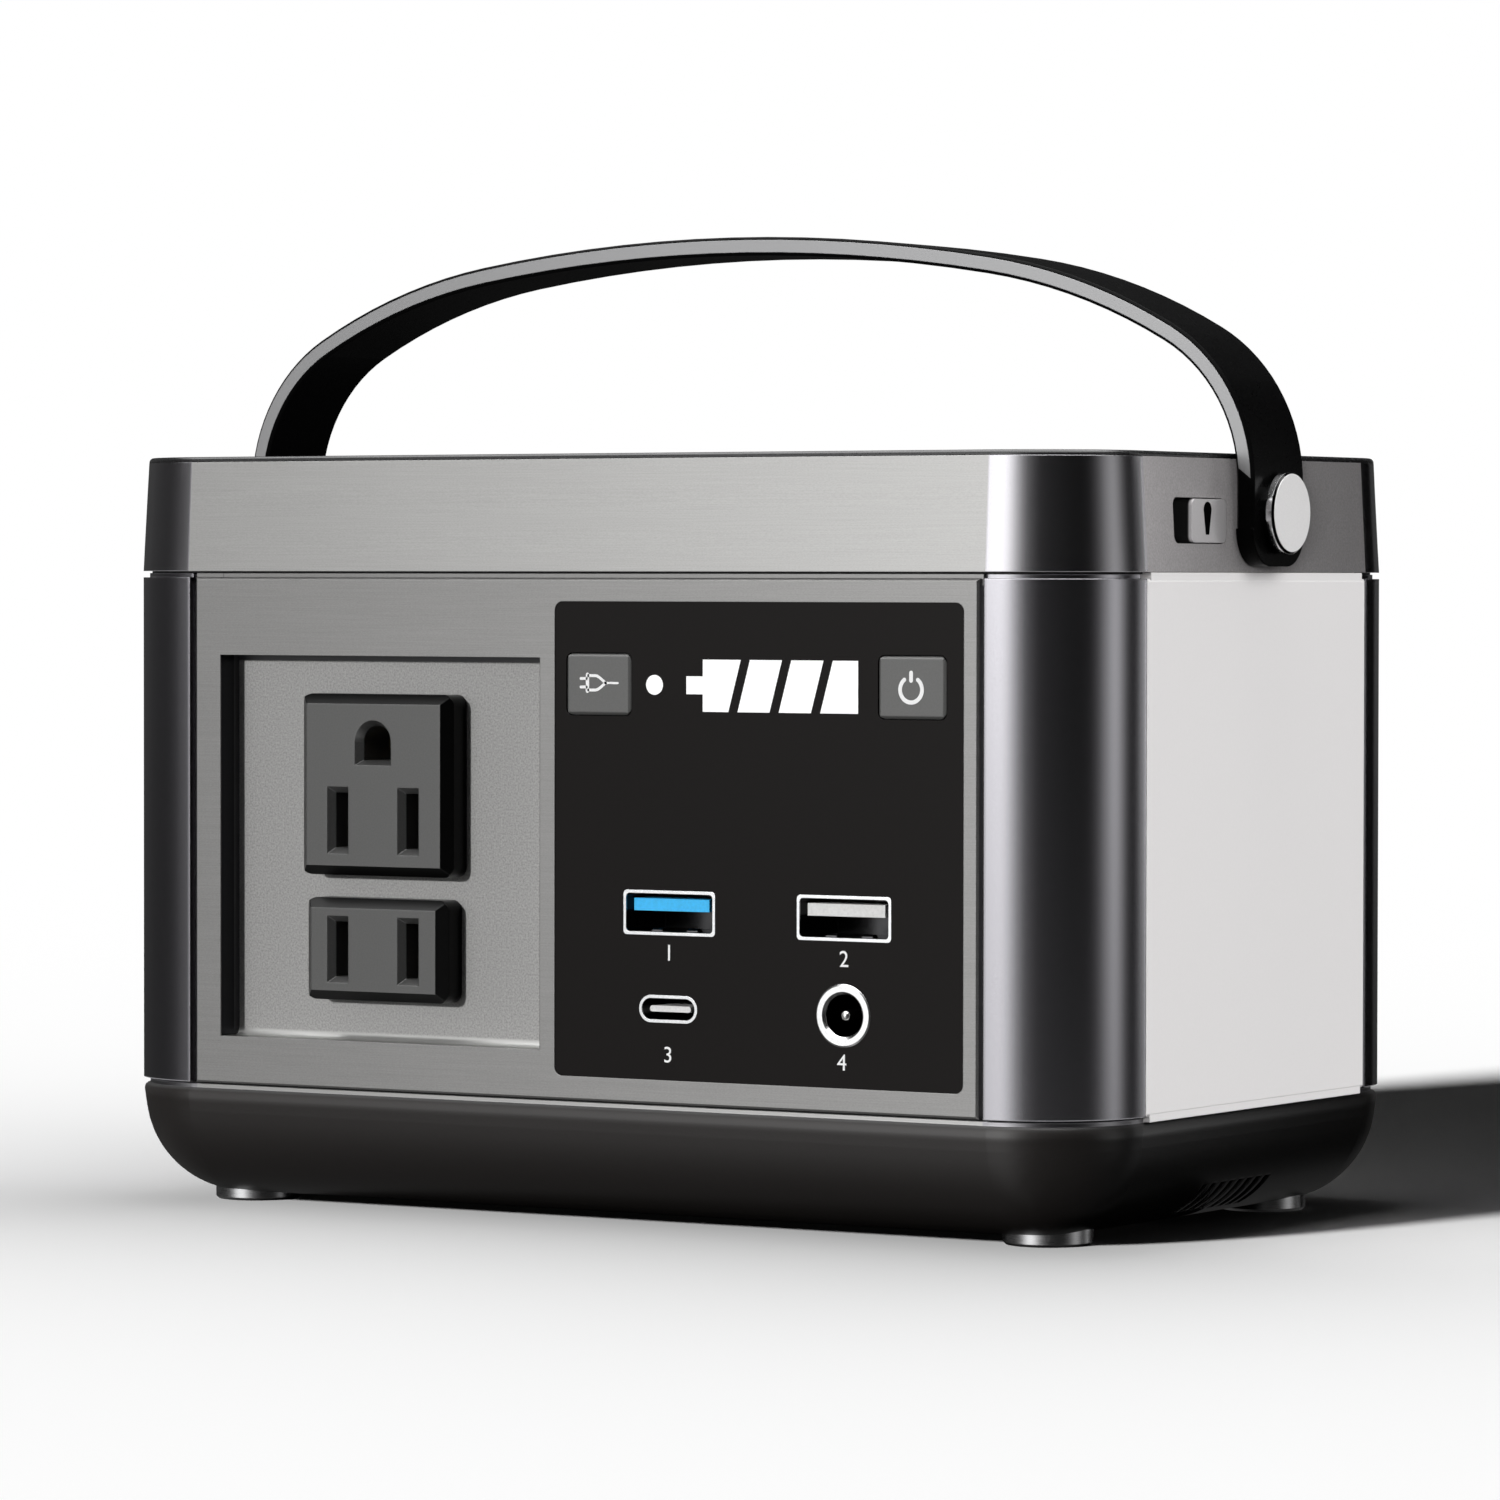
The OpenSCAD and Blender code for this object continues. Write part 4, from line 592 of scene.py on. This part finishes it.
def port_metal(name, colour, roughness, inside, lip):
    """Bright plated metal that takes the inside colour deeper than the lip behind the display's face."""
    material, tree, shader = new_finish(name, roughness, 1.0)
    wear = even_grain(tree, 0.5 * MM)
    behind_lip = calculate(tree, "GREATER_THAN", axes_of(tree)["Y"], display_face + lip)
    tree.links.new(blend_colours(tree, behind_lip, shaded_colour(tree, wear, colour, 0.05), inside),
                   shader.inputs["Base Color"])
    tree.links.new(spread(tree, wear, roughness - 0.03, roughness + 0.03, 0, 1),
                   shader.inputs["Roughness"])
    relief(tree, shader, wear, 0.001 * MM, 0.06 * MM)
    return material


# Inside the USB shells the inside colour is painted shade; inside the DC barrel it is the black of its
# moulded insert.
dress(port_metal("port_steel", (0.78, 0.79, 0.8), 0.2, (0.06, 0.06, 0.062), 0.25 * MM),
      "usb_a_shell_1", "usb_a_shell_2", "usb_c_shell")
dress(port_metal("port_nickel", (0.82, 0.82, 0.82), 0.22, (0.01, 0.01, 0.01), 0.35 * MM), "dc_out_barrel")
usb_blue = finish("usb_blue", (0.05, 0.5, 0.93), 0.4, depth=0.001, edge=0.1)
dress(usb_blue, "usb_a_tongue_1")
usb_white = finish("usb_white", (0.72, 0.72, 0.71), 0.4, depth=0.001, edge=0.1)
dress(usb_white, "usb_a_tongue_2", "usb_c_tongue")
pin_nickel = finish("pin_nickel", (0.8, 0.8, 0.79), 0.22, metallic=1.0, grain=(0.2, 0.2, 0.2))
dress(pin_nickel, "dc_out_pin")
contact_brass = finish("contact_brass", (0.3, 0.22, 0.1), 0.35, metallic=1.0)
dress(contact_brass, "outlet_contacts")


# ---------- outlets ----------
# Grey moulded nylon blocks that stand in the pan.

outlet_bevel = 1.5 * MM
bevel_reach = 0.05 * MM
outlet_grey = (0.104, 0.104, 0.1025)
side_shadow_black = (0.001, 0.001, 0.001)


def outlet_nylon(node, bevel_shade_colour):
    """Grey satin on an outlet's face, with painted shade on its bevelled rim and a painted shadow on its
    sides.
    """
    low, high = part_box(node)
    material, tree, shader = new_finish(node + "_nylon", 0.32, 0.6)
    grain = even_grain(tree, 0.25 * MM)
    axes = axes_of(tree)
    rim = []
    for axis, start, end in (("X", low.x, high.x), ("Z", low.z, high.z)):
        away = calculate(tree, "ABSOLUTE", calculate(tree, "SUBTRACT", axes[axis], (start + end) / 2))
        rim.append(calculate(tree, "SUBTRACT", away, (end - start) / 2 - outlet_bevel + bevel_reach))
    on_rim = calculate(tree, "GREATER_THAN", calculate(tree, "MAXIMUM", *rim), 0.0)
    behind_bevel = calculate(tree, "GREATER_THAN", axes["Y"], low.y + outlet_bevel)
    on_side = calculate(tree, "MULTIPLY", on_rim, behind_bevel)
    # Painted shade on the bevelled rim, and a black painted shadow on the sides behind the bevel.
    rim_colours = blend_colours(tree, on_rim, shaded_colour(tree, grain, outlet_grey, 0.08), bevel_shade_colour)
    tree.links.new(blend_colours(tree, on_side, rim_colours, side_shadow_black), shader.inputs["Base Color"])
    tree.links.new(mix_values(tree, on_rim, 0.6, 1.0), shader.inputs["Metallic"])
    tree.links.new(spread(tree, grain, 0.28, 0.36, 0, 1), shader.inputs["Roughness"])
    relief(tree, shader, grain, 0.002 * MM, 0.25 * MM)
    return material


dress(outlet_nylon("outlet_grounded", (0.009, 0.009, 0.009)), "outlet_grounded")
dress(outlet_nylon("outlet_ungrounded", (0.02, 0.02, 0.02)), "outlet_ungrounded")


# ---------- lid and its cap ----------
# The lid ring is brushed silver in front and carries the same dark lacquer round its sides; a gloss
# black cap with a rounded rim closes it.

lid_flat_half = 69.3 * MM
lid_side_half = 34.3 * MM
lid_front_starts = 40.0 * MM
lid_silver = (0.3, 0.298, 0.292)
lid_gunmetal = (0.288, 0.283, 0.296)
lid_side_colour = (0.24, 0.23, 0.232)
lid_side_metal = 0.3

lid_finish, lid_tree, lid_shader = new_finish("lid_finish", 0.22, 1.0)
lid_axes = axes_of(lid_tree)
lid_across = calculate(lid_tree, "ABSOLUTE", lid_axes["X"])
lid_along = calculate(lid_tree, "ABSOLUTE", lid_axes["Y"])
lid_lines = hairlines(lid_tree)
lid_flake = even_grain(lid_tree, 0.12 * MM)
lid_sand = even_grain(lid_tree, 0.3 * MM)
on_front = calculate(lid_tree, "MULTIPLY", calculate(lid_tree, "LESS_THAN", lid_across, lid_flat_half),
                     calculate(lid_tree, "GREATER_THAN", lid_along, lid_front_starts))
on_side = calculate(lid_tree, "MULTIPLY", calculate(lid_tree, "LESS_THAN", lid_along, lid_side_half),
                    calculate(lid_tree, "GREATER_THAN", lid_across, lid_flat_half))
lid_colours = blend_colours(lid_tree, on_side, shaded_colour(lid_tree, lid_flake, lid_gunmetal, 0.06),
                            shaded_colour(lid_tree, lid_sand, lid_side_colour, 0.2))
lid_colours = blend_colours(lid_tree, on_front, lid_colours,
                            shaded_colour(lid_tree, lid_lines, lid_silver, 0.14))
lid_tree.links.new(lid_colours, lid_shader.inputs["Base Color"])
lid_rough = mix_values(lid_tree, on_side, 0.2, spread(lid_tree, lid_sand, 0.42, 0.52, 0, 1))
lid_rough = mix_values(lid_tree, on_front, lid_rough, spread(lid_tree, lid_lines, 0.3, 0.38, 0, 1))
lid_tree.links.new(lid_rough, lid_shader.inputs["Roughness"])
lid_tree.links.new(mix_values(lid_tree, on_side, 1.0, lid_side_metal), lid_shader.inputs["Metallic"])
lid_height = mix_values(lid_tree, on_side, calculate(lid_tree, "MULTIPLY", lid_flake, 0.2), lid_sand)
relief(lid_tree, lid_shader, mix_values(lid_tree, on_front, lid_height, lid_lines), 0.002 * MM, 0.2 * MM)
dress(lid_finish, "top_shell")

cap_black = finish("cap_black", (0.01, 0.01, 0.0105), 0.25, grain=(0.5, 0.5, 0.5), depth=0.0005, edge=0.3)
dress(cap_black, "top_cap")


# ---------- lamp switch ----------
# A grey slide knob in the lid's right side, with a tapered drop pad-printed on it in black.

knob_low, knob_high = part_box("lamp_switch")
knob_face = knob_high.x
knob_cap_low = knob_face - 0.7 * MM
knob_cap_high = knob_face - 0.4 * MM
knob_grey = (0.48, 0.466, 0.472)
knob_side_shade = (0.008, 0.008, 0.008)

# Painted shade: below its cap the knob's sides are near black, as the slot's shadow.
switch_grey, knob_tree, knob_shader = new_finish("switch_grey", 0.35, 0.6)
knob_grain = even_grain(knob_tree, 0.2 * MM)
knob_cap = spread(knob_tree, axes_of(knob_tree)["X"], 0, 1, knob_cap_low, knob_cap_high)
knob_tree.links.new(blend_colours(knob_tree, knob_cap, knob_side_shade,
                                  shaded_colour(knob_tree, knob_grain, knob_grey, 0.06)),
                    knob_shader.inputs["Base Color"])
knob_tree.links.new(spread(knob_tree, knob_grain, 0.31, 0.39, 0, 1), knob_shader.inputs["Roughness"])
relief(knob_tree, knob_shader, knob_grain, 0.002 * MM, 0.25 * MM)
dress(switch_grey, "lamp_switch")

print_black = finish("print_black", (0.004, 0.004, 0.004), 0.6, grain=(0.1, 0.1, 0.1), depth=0.001,
                     edge=0.0, specular=0.0)
drop_high = 2.75 * MM
drop_low = -2.0 * MM
drop_half_top = 1.2 * MM
drop_half_foot = 0.5 * MM
drop_forward = 0.5 * MM


def drop_mark():
    """A flat drop of ink on the knob: its half width is that of a circle round the top, then narrows in a
    straight line to its squared foot; the outline is carried outwards by the ink's height."""
    turn = np.linspace(0, np.pi, 25)
    top = np.stack([np.cos(turn) * drop_half_top, drop_high - drop_half_top + np.sin(turn) * drop_half_top],
                   1)
    foot = np.array([[-drop_half_foot, drop_low], [drop_half_foot, drop_low]])
    outline = np.concatenate([top, foot])
    middle = np.array([(knob_low.y + knob_high.y) / 2 - drop_forward, (knob_low.z + knob_high.z) / 2])
    outline = outline + middle
    layers = [np.insert(outline, 0, x, axis=1) for x in (knob_face, knob_face + print_height)]
    count = len(outline)
    ring = np.arange(count)
    nxt = (ring + 1) % count
    sides = np.stack([ring, nxt, nxt + count, ring + count], 1)
    back = list(range(count))[::-1]
    front = list(range(count, 2 * count))
    return np.concatenate(layers), [list(q) for q in sides] + [back, front]


new_piece("knob_mark", *drop_mark(), print_black, "lamp_switch", "switch_black")


# ---------- handle ----------
# A gloss black bail with a flat silver inlay let into both of its edges, hung on two shoulder studs.

strap_black = finish("strap_black", (0.003, 0.003, 0.0031), 0.3, grain=(0.6, 0.6, 0.6), depth=0.0004,
                     edge=0.3, specular=0.02)
dress(strap_black, "handle_strap")
trim_silver = finish("trim_silver", (0.26, 0.26, 0.263), 0.36, metallic=0.85, grain=(0.12, 0.12, 0.12),
                     shade=0.04, rough_spread=0.02, depth=0.0005, edge=0.12)
dress(trim_silver, "handle_trim_front", "handle_trim_rear")
stud_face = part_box("pivot_stud_right")[1].x
stud_edge = 0.35 * MM
stud_face_silver = (0.77, 0.76, 0.76)
stud_rim_silver = (0.75, 0.75, 0.76)
stud_side = (0.02, 0.02, 0.02)

stud_silver, stud_tree, stud_shader = new_finish("stud_silver", 0.4)
stud_out = calculate(stud_tree, "ABSOLUTE", axes_of(stud_tree)["X"])
stud_grain = even_grain(stud_tree, 0.25 * MM)
off_face = spread(stud_tree, stud_out, 1, 0, stud_face - 0.08 * MM, stud_face - 0.02 * MM)
off_edge = spread(stud_tree, stud_out, 1, 0, stud_face - stud_edge - 0.1 * MM, stud_face - stud_edge)
stud_body = blend_colours(stud_tree, off_edge, stud_side,
                          shaded_colour(stud_tree, stud_grain, stud_rim_silver, 0.03))
stud_colour = blend_colours(stud_tree, off_face,
                            shaded_colour(stud_tree, stud_grain, stud_face_silver, 0.03), stud_body)
stud_tree.links.new(stud_colour, stud_shader.inputs["Base Color"])
stud_tree.links.new(mix_values(stud_tree, off_face, 0.25, 1.0), stud_shader.inputs["Metallic"])
stud_tree.links.new(mix_values(stud_tree, off_face, 0.5, 0.12), stud_shader.inputs["Roughness"])
relief(stud_tree, stud_shader, stud_grain, 0.0006 * MM, 0.12 * MM)
dress(stud_silver, "pivot_stud_left", "pivot_stud_right")


# ---------- inside the case ----------
# Circuit boards, cells, transformer and fan, each in its usual plain finish.

board_green = finish("board_green", (0.02, 0.11, 0.045), 0.35, grain=(1.5, 1.5, 1.5), shade=0.25)
dress(board_green, "control_board", "inverter_board", "bms_board")
switch_black = finish("switch_black", (0.018, 0.018, 0.018), 0.5)
dress(switch_black, "tact_switches", "lamp_switch_body", "dc_in_jack", "fan_frame", "fan_rotor",
      "cell_holder_lower", "cell_holder_upper")
ferrite = finish("ferrite", (0.035, 0.032, 0.03), 0.6, shade=0.2)
dress(ferrite, "transformer_core")
winding_copper = finish("winding_copper", (0.72, 0.3, 0.12), 0.3, metallic=1.0, grain=(4.0, 4.0, 0.5),
                        depth=0.1)
dress(winding_copper, "transformer_winding")
sink_aluminium = finish("sink_aluminium", (0.62, 0.63, 0.64), 0.4, metallic=1.0, grain=(0.3, 0.3, 8.0))
dress(sink_aluminium, "heat_sink")
capacitor_sleeve = finish("capacitor_sleeve", (0.02, 0.04, 0.13), 0.3)
dress(capacitor_sleeve, "capacitors")
cell_sleeve = finish("cell_sleeve", (0.03, 0.19, 0.5), 0.3, grain=(3.0, 3.0, 12.0))
dress(cell_sleeve, "battery_cells")
nickel_strip = finish("nickel", (0.62, 0.61, 0.58), 0.35, metallic=1.0, grain=(0.2, 4.0, 0.2))
dress(nickel_strip, "nickel_strips")


# ---------- studio ----------
# A pale floor, with painted shade round the housing, that runs out into a white background, globes with lit
# openings that the gloss surfaces mirror, black flags that hide parts of them, and soft lamps for the object,
# with one firmer lamp for its shadow on the floor.

def stage_piece(name, points, faces, material):
    """A mesh of the studio, which isn't part of the object."""
    mesh = bpy.data.meshes.new(name)
    mesh.from_pydata([tuple(p) for p in points], [], [tuple(f) for f in faces])
    mesh.materials.append(material)
    piece = bpy.data.objects.new(name, mesh)
    bpy.context.scene.collection.objects.link(piece)
    piece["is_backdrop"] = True
    return piece


def background_rays(tree):
    """1 for rays from the camera, from gloss surfaces and through clear ones, 0 for the rest."""
    path = tree.nodes.new("ShaderNodeLightPath")
    seen = calculate(tree, "MAXIMUM", path.outputs["Is Camera Ray"], path.outputs["Is Glossy Ray"])
    return calculate(tree, "MAXIMUM", seen, path.outputs["Is Transmission Ray"])


def bare_material(name):
    """A material with an empty node tree: returns both."""
    material = bpy.data.materials.new(name)
    material.use_nodes = True
    material.node_tree.nodes.clear()
    return material, material.node_tree


def show_surface(tree, surface):
    """Makes a shader's output the material's surface."""
    out = tree.nodes.new("ShaderNodeOutputMaterial")
    tree.links.new(surface, out.inputs["Surface"])


def gathered(name, pieces):
    """A collection of the pieces that a lamp or a globe works on."""
    group = bpy.data.collections.new(name)
    for piece in pieces:
        group.objects.link(piece)
    return group


floor_half = 6.0
near_shade = 0.44
near_reach = 0.07
far_shade = 0.06
far_reach = 0.2
darkest_floor = 0.4
footprint_x = 0.0695
footprint_y = 0.035
corner_radius = 0.0165
fade_start = 0.5
fade_end = 1.1

floor_paint, floor_tree = bare_material("floor_paint")
floor_axes = axes_of(floor_tree)
# Distance on the floor from the housing's rounded outline
beside = []
for axis, half in (("X", footprint_x), ("Y", footprint_y)):
    away = calculate(floor_tree, "ABSOLUTE", floor_axes[axis])
    beside.append(calculate(floor_tree, "MAXIMUM", calculate(floor_tree, "SUBTRACT", away, half), 0.0))
squares = [calculate(floor_tree, "MULTIPLY", b, b) for b in beside]
outline_distance = calculate(floor_tree, "SQRT", calculate(floor_tree, "ADD", *squares))
outline_distance = calculate(floor_tree, "SUBTRACT", outline_distance, corner_radius)
# Painted shade round the housing: the floor's colour darkens towards the outline in a near and a far falloff,
# to no less than darkest_floor.
floor_value = 1.0
for shade, reach in ((near_shade, near_reach), (far_shade, far_reach)):
    falling = calculate(floor_tree, "DIVIDE", outline_distance, -reach)
    shading = calculate(floor_tree, "MULTIPLY", calculate(floor_tree, "EXPONENT", falling), shade)
    floor_value = calculate(floor_tree, "SUBTRACT", floor_value, shading)
floor_value = calculate(floor_tree, "MAXIMUM", floor_value, darkest_floor)
floor_diffuse = floor_tree.nodes.new("ShaderNodeBsdfDiffuse")
floor_tree.links.new(floor_value, floor_diffuse.inputs["Color"])
floor_white = floor_tree.nodes.new("ShaderNodeEmission")
floor_mix = floor_tree.nodes.new("ShaderNodeMixShader")
fade = spread(floor_tree, outline_distance, 0, 1, fade_start, fade_end)
floor_tree.links.new(calculate(floor_tree, "MULTIPLY", fade, background_rays(floor_tree)),
                     floor_mix.inputs["Fac"])
floor_tree.links.new(floor_diffuse.outputs[0], floor_mix.inputs[1])
floor_tree.links.new(floor_white.outputs[0], floor_mix.inputs[2])
show_surface(floor_tree, floor_mix.outputs[0])
floor = stage_piece("floor", [(-floor_half, -floor_half, 0), (floor_half, -floor_half, 0),
                              (floor_half, floor_half, 0), (-floor_half, floor_half, 0)],
                    [(0, 1, 2, 3)], floor_paint)
floor.visible_glossy = False
floor.visible_diffuse = False

# The tent's light by bearing, in degrees from +X towards +Y, and by height, in degrees above the horizon.
# A peak is the highest level that its ramps can hold.
tent_radius = 2.2
tent_rows = 48
tent_columns = 96
tent_peak = 3.4
heights_peak = 1.6
crown_peak = 5.0
front_walls = (
    (0, 0.0), (120, 0.0), (165, 0.08), (205, 0.05), (219, 0.08), (227, 0.18), (233, 0.5), (240, 1.6),
    (246, 2.45), (253, 2.75), (260, 2.8), (267, 1.95), (273, 0.95), (282, 0.2), (295, 0.03), (330, 0.008),
    (340, 0.0), (360, 0.0),
)
side_walls = (
    (0, 0.5), (7, 1.05), (13, 1.5), (19, 1.15), (25, 0.44), (31, 0.1), (37, 0.02), (43, 0.06),
    (50, 0.35), (56, 1.8), (62, 2.65), (69, 1.3), (85, 0.1), (120, 0.05), (165, 0.0), (330, 0.0),
    (347, 0.02), (354, 0.15), (360, 0.5),
)
front_heights = (
    (-90, 0.0), (-60, 0.08), (-35, 0.24), (-20, 0.32), (-12, 0.4), (-4, 0.68), (0, 0.78), (7, 1.5),
    (30, 1.5), (42, 0.15), (90, 0.1),
)
side_heights = (
    (-90, 0.0), (-25, 0.0), (-12, 0.15), (-4, 0.45), (0, 0.82), (2.5, 1.0), (7, 0.6), (30, 0.45),
    (42, 0.1), (90, 0.05),
)
crown = ((-90, 0.0), (-75, 0.02), (-40, 0.07), (-20, 0.07), (-8, 0.0), (44, 0.0), (54, 5.0), (90, 5.0))


def level_ramp(tree, value, stops, start, end, peak):
    """Takes value from start..end through straight lines between the stops, each a place and a level."""
    ramp = tree.nodes.new("ShaderNodeValToRGB")
    while len(ramp.color_ramp.elements) < len(stops):
        ramp.color_ramp.elements.new(0.5)
    for stop, (place, level) in zip(ramp.color_ramp.elements, stops):
        stop.position = (place - start) / (end - start)
        stop.color = (level / peak, level / peak, level / peak, 1.0)
    tree.links.new(spread(tree, value, 0, 1, start, end), ramp.inputs["Fac"])
    return calculate(tree, "MULTIPLY", ramp.outputs["Color"], peak)


def height_degrees(tree, radius):
    """How high a point on a globe stands, in degrees above the horizon."""
    sine = calculate(tree, "DIVIDE", axes_of(tree)["Z"], radius)
    return calculate(tree, "MULTIPLY", calculate(tree, "ARCSINE", sine), 180.0 / math.pi)


def show_glow(tree, level, sheer):
    """A lining that glows at the level. A sheer one also lets what is behind it shine through."""
    glow = tree.nodes.new("ShaderNodeEmission")
    tree.links.new(level, glow.inputs["Strength"])
    surface = glow.outputs[0]
    if sheer:
        both = tree.nodes.new("ShaderNodeAddShader")
        tree.links.new(tree.nodes.new("ShaderNodeBsdfTransparent").outputs[0], both.inputs[0])
        tree.links.new(surface, both.inputs[1])
        surface = both.outputs[0]
    show_surface(tree, surface)


tent_lining, tent_tree = bare_material("tent_lining")
tent_axes = axes_of(tent_tree)
bearing = calculate(tent_tree, "ARCTAN2", tent_axes["Y"], tent_axes["X"])
turns = calculate(tent_tree, "FRACT", calculate(tent_tree, "DIVIDE", bearing, 2 * math.pi))
bearing_degrees = calculate(tent_tree, "MULTIPLY", turns, 360.0)
tent_height = height_degrees(tent_tree, tent_radius)
tent_level = level_ramp(tent_tree, tent_height, crown, -90, 90, crown_peak)
for walls, heights in ((front_walls, front_heights), (side_walls, side_heights)):
    wall_glow = calculate(tent_tree, "MULTIPLY",
                          level_ramp(tent_tree, bearing_degrees, walls, 0, 360, tent_peak),
                          level_ramp(tent_tree, tent_height, heights, -90, 90, heights_peak))
    tent_level = calculate(tent_tree, "ADD", tent_level, wall_glow)
show_glow(tent_tree, tent_level, sheer=True)


def seen_in_gloss_only(piece):
    """Hides a piece of the studio from all but gloss surfaces."""
    piece.visible_camera = False
    piece.visible_diffuse = False
    piece.visible_shadow = False
    piece.visible_transmission = False


def globe(name, radius, lining):
    """A globe round the studio, seen by gloss surfaces only: rows run from its lowest point to its crown
    and columns go round."""
    rise = np.linspace(-0.5 * np.pi, 0.5 * np.pi, tent_rows)[:, None]
    around = np.linspace(0, 2 * np.pi, tent_columns, endpoint=False)[None, :]
    grid = radius * np.stack([np.cos(rise) * np.cos(around), np.cos(rise) * np.sin(around),
                              np.sin(rise) * np.ones_like(around)], -1)
    index = np.arange(tent_rows * tent_columns).reshape(tent_rows, tent_columns)
    shifted = np.roll(index, -1, axis=1)
    squares = np.stack([index[:-1], index[1:], shifted[1:], shifted[:-1]], -1).reshape(-1, 4)
    piece = stage_piece(name, grid.reshape(-1, 3), squares, lining)
    seen_in_gloss_only(piece)
    return piece


globe("tent", tent_radius, tent_lining)


def height_lining(name, radius, heights, sheer):
    """A globe's glow that depends on height alone."""
    lining, tree = bare_material(name)
    show_glow(tree, level_ramp(tree, height_degrees(tree, radius), heights, -90, 90, lining_peak), sheer)
    return lining


# The pale floor as the metal parts mirror it from above: a second globe behind the sheer tent, lit below
# the horizon, for those parts alone. A third, between the two, lights the level view of the rear and left
# panels, which face away from the tent's openings.
lining_peak = 1.2
floor_globe_radius = 2.4
floor_heights = ((-90, 0.3), (-60, 0.5), (-40, 1.1), (-16, 1.1), (-9, 0.0), (90, 0.0))
floor_globe = globe("floor_globe", floor_globe_radius,
                    height_lining("floor_lining", floor_globe_radius, floor_heights, sheer=False))
rear_globe_radius = 2.3
rear_heights = ((-90, 0.0), (-16, 0.0), (-9, 0.5), (0, 0.6), (30, 0.5), (50, 0.0), (90, 0.0))
rear_globe = globe("rear_globe", rear_globe_radius,
                   height_lining("rear_lining", rear_globe_radius, rear_heights, sheer=True))
rear_globe.light_linking.receiver_collection = gathered(
    "rear_parts", [nodes[part] for part in ("rear_panel", "side_panel_left")])
floor_globe.light_linking.receiver_collection = gathered("metal_parts", [nodes[part] for part in (
    "front_panel", "rear_panel", "side_panel_left", "mid_housing", "top_shell", "lamp_switch",
    "outlet_grounded", "outlet_ungrounded", "handle_trim_front", "handle_trim_rear")])

flag_black, _, flag_shader = new_finish("flag_black", 0.5)
flag_shader.inputs["Base Color"].default_value = (0.002, 0.002, 0.002, 1.0)
flag_shader.inputs["Specular IOR Level"].default_value = 0.0


def black_flag(name, start, end, low, high):
    """An upright black screen from start to end, both (x, y), that only gloss surfaces see."""
    flag = stage_piece(name, [(*start, low), (*end, low), (*end, high), (*start, high)], [(0, 1, 2, 3)],
                       flag_black)
    seen_in_gloss_only(flag)


# One flag off the rear right corner hides the tent's right-hand opening from the rear half, so the rear
# panel mirrors black when it is seen from the rear left; the other keeps the light from shining through
# under the tray.
rear_flag_x = 0.2
rear_flag_near = 0.2
rear_flag_far = 1.2
flag_reach = 0.5
under_flag_half = 0.085
under_flag_top = 2.8 * MM
black_flag("rear_flag", (rear_flag_x, rear_flag_near), (rear_flag_x, rear_flag_far), -flag_reach, flag_reach)
black_flag("under_flag", (-under_flag_half, 0.0), (under_flag_half, 0.0), -flag_reach, under_flag_top)

pan_pieces = ("front_panel", "outlet_grounded", "outlet_ungrounded")
shown_pieces = list(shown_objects())
object_lit = gathered("object_lit", shown_pieces)
floor_lit = gathered("floor_lit", [floor])
sides_lit = gathered("sides_lit", [piece for piece in shown_pieces if piece.name not in pan_pieces])
lens_lit = gathered("lens_lit", [nodes["lamp_lens"], nodes["pivot_stud_right"]])
above_base = gathered("above_base", [piece for piece in sides_lit.objects if piece.name != "base_shell"])
lid_lit = gathered("lid_lit", [nodes["top_shell"], nodes["lamp_switch"]])


def soft_lamp(name, azimuth, elevation, strength, spread_deg, receivers):
    """A lamp far off in a direction, azimuth turned from +X towards +Y, that lights the receivers only."""
    light = bpy.data.lights.new(name, "SUN")
    light.energy = strength
    light.angle = math.radians(spread_deg)
    lamp = bpy.data.objects.new(name, light)
    a, e = math.radians(azimuth), math.radians(elevation)
    towards = Vector((math.cos(a) * math.cos(e), math.sin(a) * math.cos(e), math.sin(e)))
    lamp.rotation_euler = towards.to_track_quat("Z", "Y").to_euler()
    lamp.location = towards
    lamp.visible_glossy = False
    lamp.light_linking.receiver_collection = receivers
    bpy.context.scene.collection.objects.link(lamp)


soft_lamp("floor_lamp", 256.8, 17, 10.5, 7, floor_lit)
soft_lamp("front_lamp", 258.5, 11, 2.5, 3, object_lit)
soft_lamp("side_lamp", 350, 20, 1.1, 60, above_base)
soft_lamp("lens_lamp", 345, 20, 2.25, 60, lens_lit)

# A small lamp close to the front right corner brightens the near end of the lid's side.
corner_place = (0.13, -0.09, 0.11)
corner_direction = Vector((0.044, -0.07, 0.005))
corner_watts = 0.1
corner_size = 0.02
corner_light = bpy.data.lights.new("corner_lamp", "AREA")
corner_light.energy = corner_watts
corner_light.size = corner_size
corner_lamp = bpy.data.objects.new("corner_lamp", corner_light)
corner_lamp.location = corner_place
corner_lamp.rotation_euler = corner_direction.to_track_quat("Z", "Y").to_euler()
corner_lamp.visible_glossy = False
corner_lamp.light_linking.receiver_collection = lid_lit
bpy.context.scene.collection.objects.link(corner_lamp)

soft_lamp("rear_lamp", 100, 30, 1.6, 60, object_lit)
soft_lamp("left_lamp", 185, 25, 1.0, 60, object_lit)
soft_lamp("top_lamp", 270, 82, 1.6, 20, sides_lit)

world = bpy.data.worlds.new("studio")
bpy.context.scene.world = world
world.use_nodes = True
world_tree = world.node_tree
world_tree.nodes.clear()
dim_fill = 0.02
world_level = calculate(world_tree, "MAXIMUM", background_rays(world_tree), dim_fill)
backdrop = world_tree.nodes.new("ShaderNodeBackground")
backdrop.inputs["Color"].default_value = (1.0, 1.0, 1.0, 1.0)
world_tree.links.new(world_level, backdrop.inputs["Strength"])
world_out = world_tree.nodes.new("ShaderNodeOutputWorld")
world_tree.links.new(backdrop.outputs[0], world_out.inputs["Surface"])

bpy.context.scene.view_settings.view_transform = "Standard"
